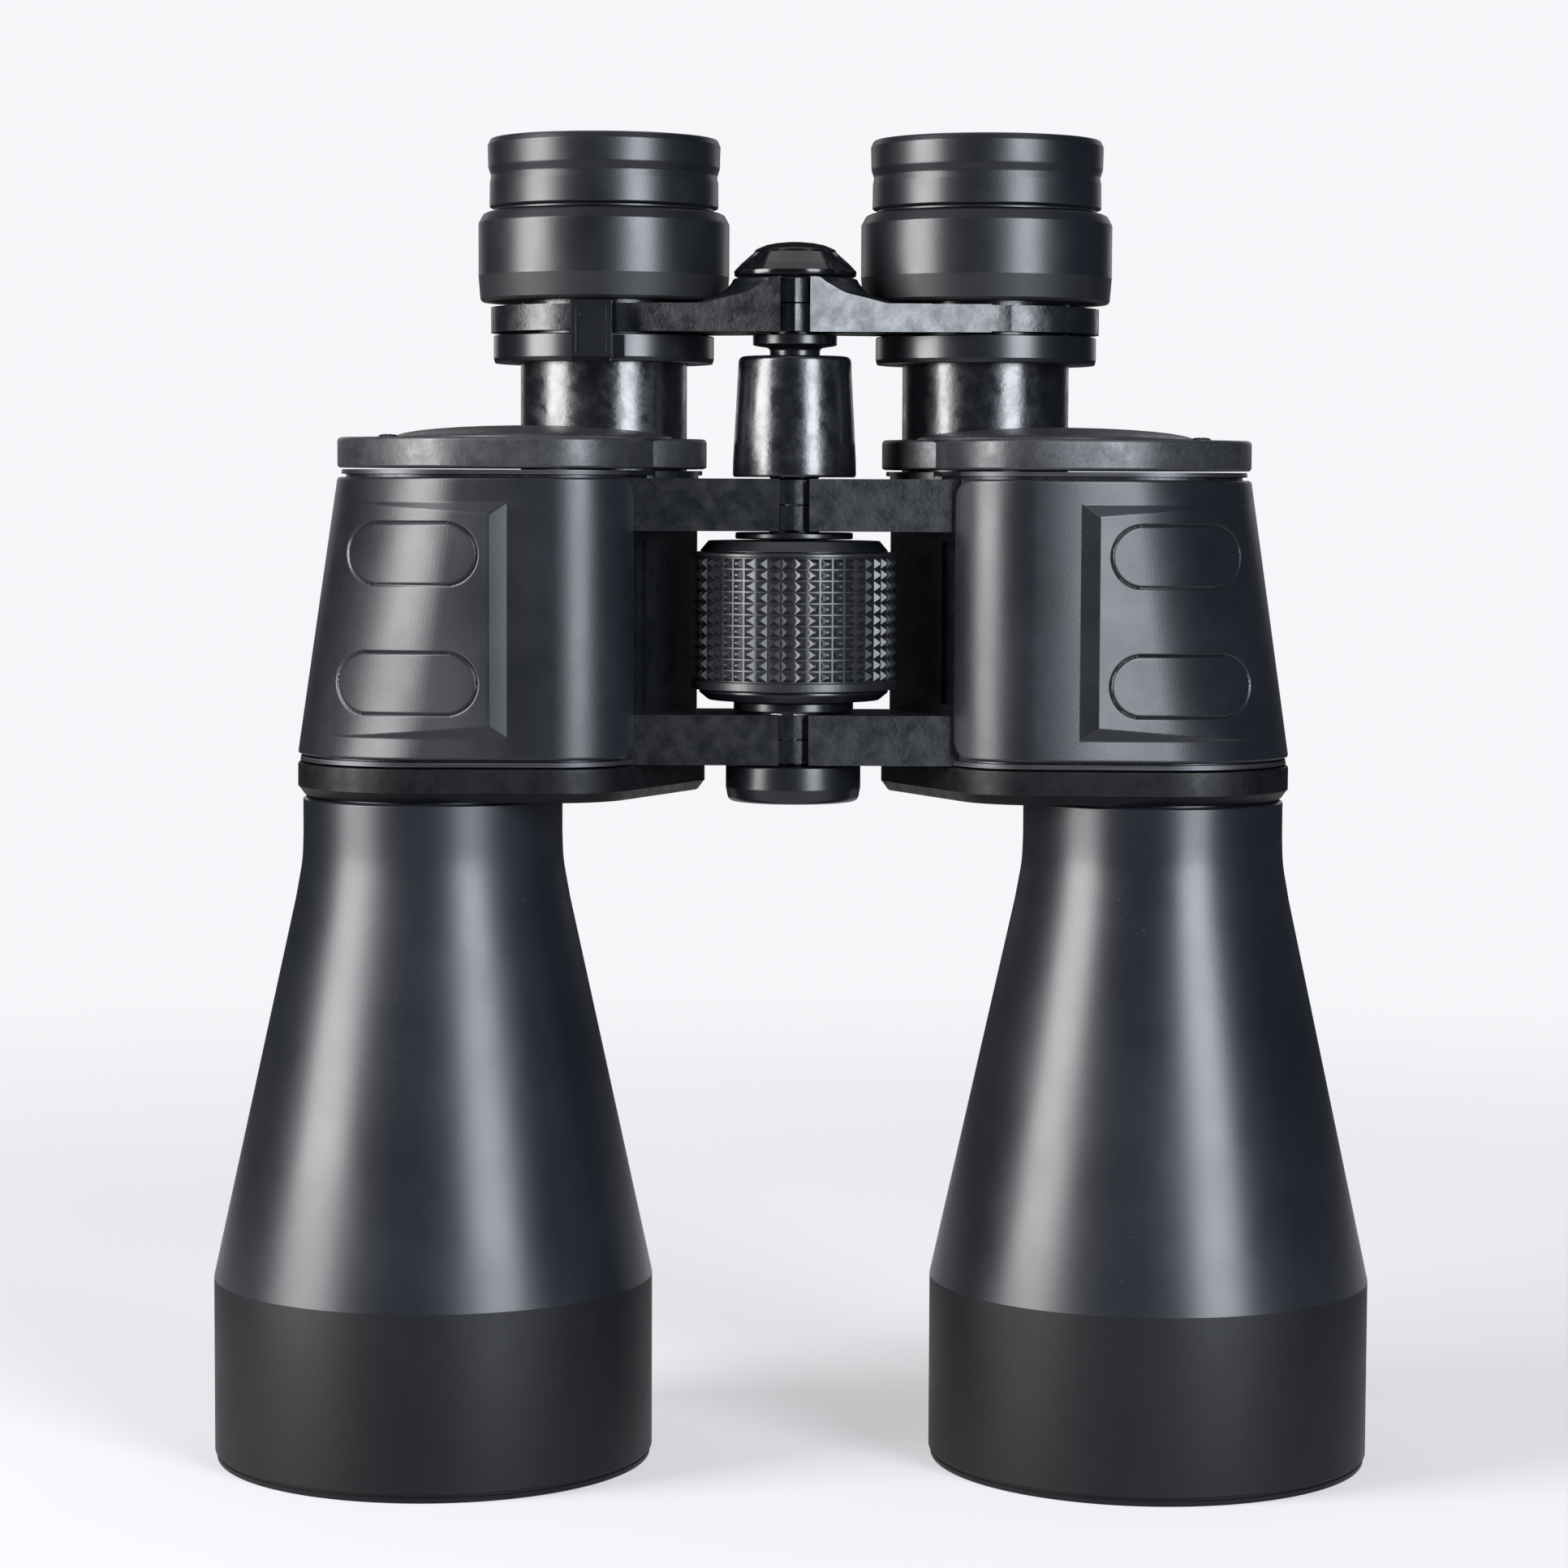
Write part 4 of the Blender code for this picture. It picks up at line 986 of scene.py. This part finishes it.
def make_knurl(mats):
    """Focus wheel grip with rows of small pyramids between two plain bands."""
    node = "focus_wheel_grip"
    low, high, tip = round_size(node)
    valley = tip - KNURL_DEPTH
    pitch = (high - low - KNURL_MARGIN) / KNURL_ROWS
    start = low + 1.75
    z_lines = [(start + pitch * (row + share), share in KNURL_CREST)
               for row in range(KNURL_ROWS) for share in KNURL_CELL]
    turn_lines = [(2.0 * math.pi * (column + share) / KNURL_COLUMNS, share in KNURL_CREST)
                  for column in range(KNURL_COLUMNS) for share in KNURL_CELL]
    band_below = [(KNURL_INNER_R, low), (tip - 0.25, low), (tip, low + 0.2), (tip, start - 0.25),
                  (valley, start - 0.05)]
    band_above = [(valley, high - 0.8), (tip, high - 0.6), (tip, high - 0.2), (tip - 0.25, high),
                  (KNURL_INNER_R, high)]
    bm = bmesh.new()
    rows = [ring_of(bm, radius, z, turn_lines) for radius, z in band_below]
    for z, on_top in z_lines:
        rows.append([bm.verts.new(polar(tip if on_top and crest else valley, angle, z))
                     for angle, crest in turn_lines])
    rows += [ring_of(bm, radius, z, turn_lines) for radius, z in band_above]
    for index, row in enumerate(rows):
        knit(bm, row, rows[(index + 1) % len(rows)])
    dress(add_mesh(node + "_knurled", bm, 12.0), "focus_wheel", mats["knurl"], "eyecup_rubber", node)


def polar(radius, angle, z):
    """A point on a ring about the hinge axis."""
    return radius * math.cos(angle), radius * math.sin(angle), z


def ring_of(bm, radius, z, turn_lines):
    """A plain ring with a vertex on each of the knurl's upright lines."""
    return [bm.verts.new(polar(radius, angle, z)) for angle, _ in turn_lines]


def knit(bm, low, high):
    """Faces between two rings, each quad split along the hip edge of its pyramid."""
    count = len(low)
    for step in range(count):
        after = (step + 1) % count
        a, b, c, d = low[step], low[after], high[after], high[step]
        reach = [v.co.x ** 2 + v.co.y ** 2 for v in (a, b, c, d)]
        if max(reach) - min(reach) < 1.0:
            bm.faces.new((a, b, c, d))
        elif abs(reach[0] - reach[2]) > abs(reach[1] - reach[3]):
            bm.faces.new((a, b, c))
            bm.faces.new((a, c, d))
        else:
            bm.faces.new((a, b, d))
            bm.faces.new((b, c, d))


def make_focus(mats):
    """Wheel core with chamfered flanges, and the screw with its collar."""
    node = "focus_wheel_core"
    low, high = heights(node)
    seat_low, seat_high = heights("focus_wheel_grip")
    seat_low -= HALF_GAP
    seat_high += HALF_GAP
    core = [(AXLE_R, low), (15.7, low, 0.3), (17.35, low + 1.35, 0.25), (17.35, seat_low, 0.1),
            (15.0, seat_low), (15.0, seat_high), (17.35, seat_high, 0.1), (15.7, high, 0.3),
            (AXLE_R, high)]
    turn_piece(node, "turned", core, "focus_wheel", mats["ring"], "satin_black")
    make_knurl(mats)
    node = "focus_screw"
    low, high = heights(node)
    foot, head = SCREW_COLLAR_Z
    thread = repeated(low + 1.0, foot - 6.0, 1.0, ((4.2, 0.0), (SCREW_R, 0.35), (SCREW_R, 0.65)))
    screw = [(0.0, low), (4.0, low), *thread, (SCREW_R, foot - 5.0), (SCREW_R, foot - 0.4, 0.7),
             (7.2, foot, 0.3), (7.7, foot + 0.2, 0.2), (7.7, head, 0.25), (SCREW_R, head),
             (SCREW_R, high, 0.3), (0.0, high)]
    turn_piece(node, "turned", screw, "focus_carriage", mats["ring"], "steel", segments=96)


# ---------------- bridge and eyepieces

BRIDGE_FRONT = -10.4
BRIDGE_TOP_Z = 212.7
BRIDGE_RING_R = 20.9
HUB_R = 11.3
HUB_KNUCKLE_R = 8.6
HUB_BORE_R = 4.9
HEAD_CLEARANCE_R = 23.5
OCULAR_SEGMENTS = 160


def make_bridge_arm(tag, mats):
    """Arm with a flat front, a flared half hub and the ring round the draw tube."""
    side = SIDES[tag]
    node = f"bridge_arm_{tag}"
    eyepiece = (side * EYEPIECE_X, EYEPIECE_Y)
    low, hub_top = heights(node)
    high = BRIDGE_TOP_Z
    plan = [(SLOT_X, BRIDGE_FRONT), (EYEPIECE_X, EYEPIECE_Y - BRIDGE_RING_R + 0.02),
            (EYEPIECE_X, 12.0), (23.0, 15.5), (9.5, 11.7), (SLOT_BACK_X, 10.4), (SLOT_X, 1.0)]
    arm = plate(node + "_cast", [(side * x, y) for x, y in plan], low, hub_top)
    flare = [(0.0, low - 1.0), (60.0, low - 1.0), (60.0, high), (19.5, high, 3.0),
             (13.6, high + 1.9, 4.0), (11.7, high + 3.9, 3.0), (HUB_R, hub_top, 0.6), (0.0, hub_top)]
    combine(arm, turned("flare_tool", flare, steps=9), "INTERSECT")
    fuse(arm, rod("ring_tool", BRIDGE_RING_R, low + 0.2, high - 0.2, eyepiece))
    add_knuckle(arm, HUB_KNUCKLE_R, side < 0, low, high + HALF_GAP, hub_top, HUB_BORE_R)
    room = [(0.0, low - 1.0), (BORE_R, low - 1.0), (BORE_R, high - 0.05),
            (HEAD_CLEARANCE_R, high - 0.05), (HEAD_CLEARANCE_R, hub_top + 1.0), (0.0, hub_top + 1.0)]
    cut(arm, turned("room_tool", room, eyepiece))
    bevel(arm, 0.28)
    dress(arm, BRIDGE_BODY[tag], mats["arm"], "cast_black", node)


def make_bridge_cap(mats):
    """Cap with a glossy rim, a step, a chamfer and a raised shallow disc."""
    node = "bridge_cap"
    low, high, radius = round_size(node)
    cap = [(0.0, low), (radius - 0.4, low, 0.2), (radius - 0.1, low + 0.2, 0.1),
           (radius, low + 1.0, 0.3), (radius - 1.2, low + 2.3, 0.4), (7.6, high - 2.0, 0.4),
           (7.3, high - 1.45, 0.25), (6.9, high - 1.25, 0.3), (5.4, high - 0.62), (3.6, high - 0.25),
           (1.8, high - 0.06), (0.0, high)]
    turn_piece(node, "moulded", cap, "focus_carriage", mats["gloss"], "gloss_black")


def make_eyepiece(tag, mats):
    """Draw tube, ocular head with its matte band, eyecup and eye lens."""
    centre = (SIDES[tag] * EYEPIECE_X, EYEPIECE_Y)
    node = f"eyepiece_tube_{tag}"
    low, high = heights(node)
    inner = TUBE_R - 1.9
    tube = [(inner, low), (TUBE_R, low, 0.3), (TUBE_R, high, 0.3), (inner, high)]
    turn_piece(node, "turned", tube, BRIDGE_BODY[tag], mats["sleeve"], "satin_black", centre)
    make_ocular_head(tag, mats, centre)
    node = f"eyecup_{tag}"
    low, high, radius = round_size(node)
    cup = [(14.0, low), (radius - 1.2, low), (radius - 1.2, low + 0.35, 0.15),
           (radius - 0.35, low + 0.7, 0.3), (radius - 0.40, low + 5.2, 1.5),
           (radius - 0.62, low + 6.4, 1.0), (radius - 0.1, low + 8.0, 1.5),
           (radius, high - 1.2, 0.6), (radius - 0.55, high, 0.5), (18.4, high, 0.7),
           (17.7, high - 1.2, 0.8), (17.4, low + 2.4, 0.8), (14.6, low + 1.9, 0.5),
           (14.0, low + 1.3, 0.3)]
    turn_piece(node, "rubber", cup, HEAD_BODY[tag], mats["eyecup"], "eyecup_rubber", centre,
               segments=OCULAR_SEGMENTS)
    make_lens(f"eye_lens_{tag}", 1.2, {"L": "focus_carriage", "R": "diopter_lens"}[tag], mats)


def make_ocular_head(tag, mats, centre):
    """Head with a duller band round its foot."""
    node = f"ocular_head_{tag}"
    low, high, radius = round_size(node)
    band = low + 4.7
    head = [(BORE_R, low), (radius - 0.7, low, 0.3), (radius - 0.35, low + 0.5, 0.3),
            (radius, band, 0.0), (radius, band + 0.02), (radius, high - 2.0, 0.6),
            (radius - 0.9, high - 0.35, 0.5), (radius - 1.7, high, 0.3), (12.0, high, 0.4),
            (12.0, high - 2.9), (BORE_R, high - 2.9)]
    piece = turn_piece(node, "moulded", head, HEAD_BODY[tag], mats["eyecup"], "satin_black", centre,
                       segments=OCULAR_SEGMENTS)
    piece.data.materials.append(mats["eyecup_band"])
    for face in piece.data.polygons:
        if face.center.z < (band + 0.01) * MM:
            face.material_index = 1


def make_zoom_ring(tag, mats):
    """Zoom ring with softened rims."""
    node = f"zoom_ring_{tag}"
    low, high, radius = round_size(node)
    profile = [(BORE_R, low), (radius - 0.25, low, 0.3), (radius, low + 0.9, 0.5),
               (radius, high, 0.3), (BORE_R, high)]
    body = {"L": "zoom_ring_left", "R": "zoom_ring_right"}[tag]
    turn_piece(node, "turned", profile, body, mats["ring"], "satin_black", axis_of(node))


LEVER_ANGLE = math.radians(-93.0)
LEVER_R = 24.6
LEVER_HALF = 3.7
LEVER_CLEAR_R = 21.5


def make_lever(mats):
    """Zoom lever: a tall block over both rings with a softened face and a side rib."""
    centre = axis_of("zoom_ring_L")
    low, high = heights("zoom_lever")
    step = high_of("zoom_ring_L").z
    foot = radius_of("zoom_ring_L") + 0.3
    half = LEVER_HALF
    sections = (
        (foot, LEVER_R - 0.7, half - 0.4, low), (foot, LEVER_R, half, low + 0.7),
        (foot, LEVER_R, half, step - 0.1), (LEVER_CLEAR_R, LEVER_R, half, step + 0.1),
        (LEVER_CLEAR_R, LEVER_R - 0.2, half, high))
    lever = stacked("zoom_lever_moulded", [(spoke(centre, LEVER_ANGLE, inner, outer, -reach, reach), z)
                                           for inner, outer, reach, z in sections])
    face = spoke(centre, LEVER_ANGLE, LEVER_R - 0.25, LEVER_R + 1.0, 1.0 - half, half - 1.0)
    cut(lever, plate("face_tool", face, low + 1.4, high - 1.2))
    rib = spoke(centre, LEVER_ANGLE, foot + 0.5, LEVER_R - 1.4, half - 0.5, half + 2.2)
    fuse(lever, plate("rib_tool", rib, low + 0.4, step - 0.5))
    bevel(lever, 0.22)
    dress(lever, "zoom_ring_left", mats["ring"], "satin_black", "zoom_lever")


# ---------------- hidden pieces keep their CAD shape

HIDDEN = {
    "prism_shelf": "black_metal", "prism_upper": "prism", "prism_lower": "prism",
    "objective_flint_lens": "glass", "field_lens": "glass", "zoom_cell": "black_metal",
    "zoom_lens": "glass",
}


def dress_hidden(mats):
    """Finishes for the CAD pieces that stay as they are."""
    for stem, finish in HIDDEN.items():
        for tag in SIDES:
            repaint(f"{stem}_{tag}", mats[finish])
    repaint("hinge_axle_lower", mats["steel"])


def repaint(node, material):
    """Put a material on a CAD node."""
    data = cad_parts[node].data
    data.materials.clear()
    data.materials.append(material)


# ---------------- studio

def aim(obj, target):
    """Turn an object's -Z towards a point."""
    obj.rotation_euler = (Vector(target) - obj.location).to_track_quat("-Z", "Y").to_euler()


def softbox(name, place, target, width, height, radiance, colour):
    """A soft rectangular light given by how bright its face looks."""
    light = bpy.data.lights.new(name, "AREA")
    light.shape = "RECTANGLE"
    light.size = width
    light.size_y = height
    light.energy = radiance * math.pi * width * height
    light.color = colour
    obj = bpy.data.objects.new(name, light)
    obj.location = place
    obj.visible_camera = False
    bpy.context.scene.collection.objects.link(obj)
    aim(obj, target)


# Name, azimuth in degrees, distance, width, height, height of its middle, radiance, colour.
UPRIGHT_LIGHTS = (
    ("softbox_left", -67.0, 1.05, 0.56, 1.05, 0.54, 19.0, (1.0, 0.985, 1.0)),
    ("softbox_right", 35.0, 1.15, 0.46, 1.05, 0.54, 21.0, (0.86, 0.92, 1.0)),
    ("softbox_back_left", -155.0, 1.5, 0.5, 0.8, 0.6, 0.9, (1.0, 1.0, 1.0)),
    ("softbox_back_right", 155.0, 1.5, 0.5, 0.8, 0.6, 0.9, (0.95, 0.97, 1.0)))
TOP_LIGHT = ("softbox_top", (0.0, 0.15, 1.35), (0.0, 0.0, 0.0), 1.5, 1.3, 1.2, (1.0, 1.0, 1.0))


def make_lights():
    """Two tall softboxes in front, one overhead and weak ones behind."""
    for name, azimuth, distance, width, height, lift, radiance, colour in UPRIGHT_LIGHTS:
        turn = math.radians(azimuth)
        place = (math.sin(turn) * distance, -math.cos(turn) * distance, lift)
        softbox(name, place, (0.0, 0.0, lift), width, height, radiance, colour)
    softbox(*TOP_LIGHT)


PALE = (0.925, 0.915, 0.945, 1.0)
FILL = (0.90, 0.93, 1.0, 1.0)
FLOOR_RADIUS = 2.2
FADE_START = 0.14
FADE_END = 0.75


def join(tree, *wires):
    """Link nodes, each wire given as a node, its output, the next node and its input."""
    for source, output, target, socket in wires:
        tree.links.new(source.outputs[output], target.inputs[socket])


def make_world():
    """Pale surroundings for the camera, dimmer ones for the light that reaches the object."""
    world = bpy.data.worlds.new("studio")
    world.use_nodes = True
    bpy.context.scene.world = world
    tree = world.node_tree
    tree.nodes.clear()
    seen = new_node(tree, "ShaderNodeBackground", {"Color": PALE})
    fill = new_node(tree, "ShaderNodeBackground", {"Color": FILL, "Strength": 0.03})
    rays = new_node(tree, "ShaderNodeLightPath")
    mix = new_node(tree, "ShaderNodeMixShader")
    out = new_node(tree, "ShaderNodeOutputWorld")
    join(tree, (rays, "Is Camera Ray", mix, "Fac"), (fill, "Background", mix, 1),
         (seen, "Background", mix, 2), (mix, "Shader", out, "Surface"))


def make_floor():
    """Round pale floor that fades into the surroundings far from the object."""
    bpy.ops.mesh.primitive_circle_add(vertices=96, radius=FLOOR_RADIUS, fill_type="NGON",
                                      location=(0, 0, 0))
    floor = bpy.context.active_object
    floor.name = "studio_floor"
    material = bpy.data.materials.new("studio_floor_pale")
    material.use_nodes = True
    tree = material.node_tree
    tree.nodes.clear()
    lit = new_node(tree, "ShaderNodeBsdfDiffuse", {"Color": (0.26, 0.26, 0.27, 1.0)})
    glow = new_node(tree, "ShaderNodeEmission", {"Color": PALE, "Strength": 0.52})
    both = new_node(tree, "ShaderNodeAddShader")
    clear = new_node(tree, "ShaderNodeBsdfTransparent")
    coords = new_node(tree, "ShaderNodeTexCoord")
    length = new_node(tree, "ShaderNodeVectorMath", operation="LENGTH")
    fade = new_node(tree, "ShaderNodeMapRange", {"From Min": FADE_START, "From Max": FADE_END},
                    interpolation_type="SMOOTHSTEP")
    mix = new_node(tree, "ShaderNodeMixShader")
    out = new_node(tree, "ShaderNodeOutputMaterial")
    join(tree, (coords, "Object", length, 0), (length, "Value", fade, "Value"),
         (fade, "Result", mix, "Fac"), (lit, "BSDF", both, 0), (glow, "Emission", both, 1),
         (both, "Shader", mix, 1), (clear, "BSDF", mix, 2), (mix, "Shader", out, "Surface"))
    floor.data.materials.append(material)


CAMERA_PLACE = (-0.0019, -0.7565, 0.1799)
CAMERA_TIP = math.radians(90.0 - 4.15)
CAMERA_ROLL = math.radians(-0.25)


def make_camera():
    """Long lens a little above the middle of the object, tipped slightly down."""
    data = bpy.data.cameras.new("camera")
    data.lens = 94.49
    data.sensor_width = 36.0
    camera = bpy.data.objects.new("camera", data)
    camera.location = CAMERA_PLACE
    camera.rotation_euler = (CAMERA_TIP, CAMERA_ROLL, 0.0)
    bpy.context.scene.collection.objects.link(camera)
    bpy.context.scene.camera = camera


# ---------------- assembly

make_camera()
make_world()
make_floor()
make_lights()
MATERIALS = make_materials()
for TAG in SIDES:
    make_barrel(TAG, MATERIALS)
    make_objective(TAG, MATERIALS)
    make_skin(TAG, MATERIALS)
    make_housing(TAG, MATERIALS)
    make_eyepiece_cover(TAG, MATERIALS)
    make_objective_cover(TAG, MATERIALS)
    make_bridge_arm(TAG, MATERIALS)
    make_eyepiece(TAG, MATERIALS)
    make_zoom_ring(TAG, MATERIALS)
make_hinge(MATERIALS)
make_focus(MATERIALS)
make_bridge_cap(MATERIALS)
make_lever(MATERIALS)
dress_hidden(MATERIALS)
bpy.context.scene.view_settings.view_transform = "Standard"
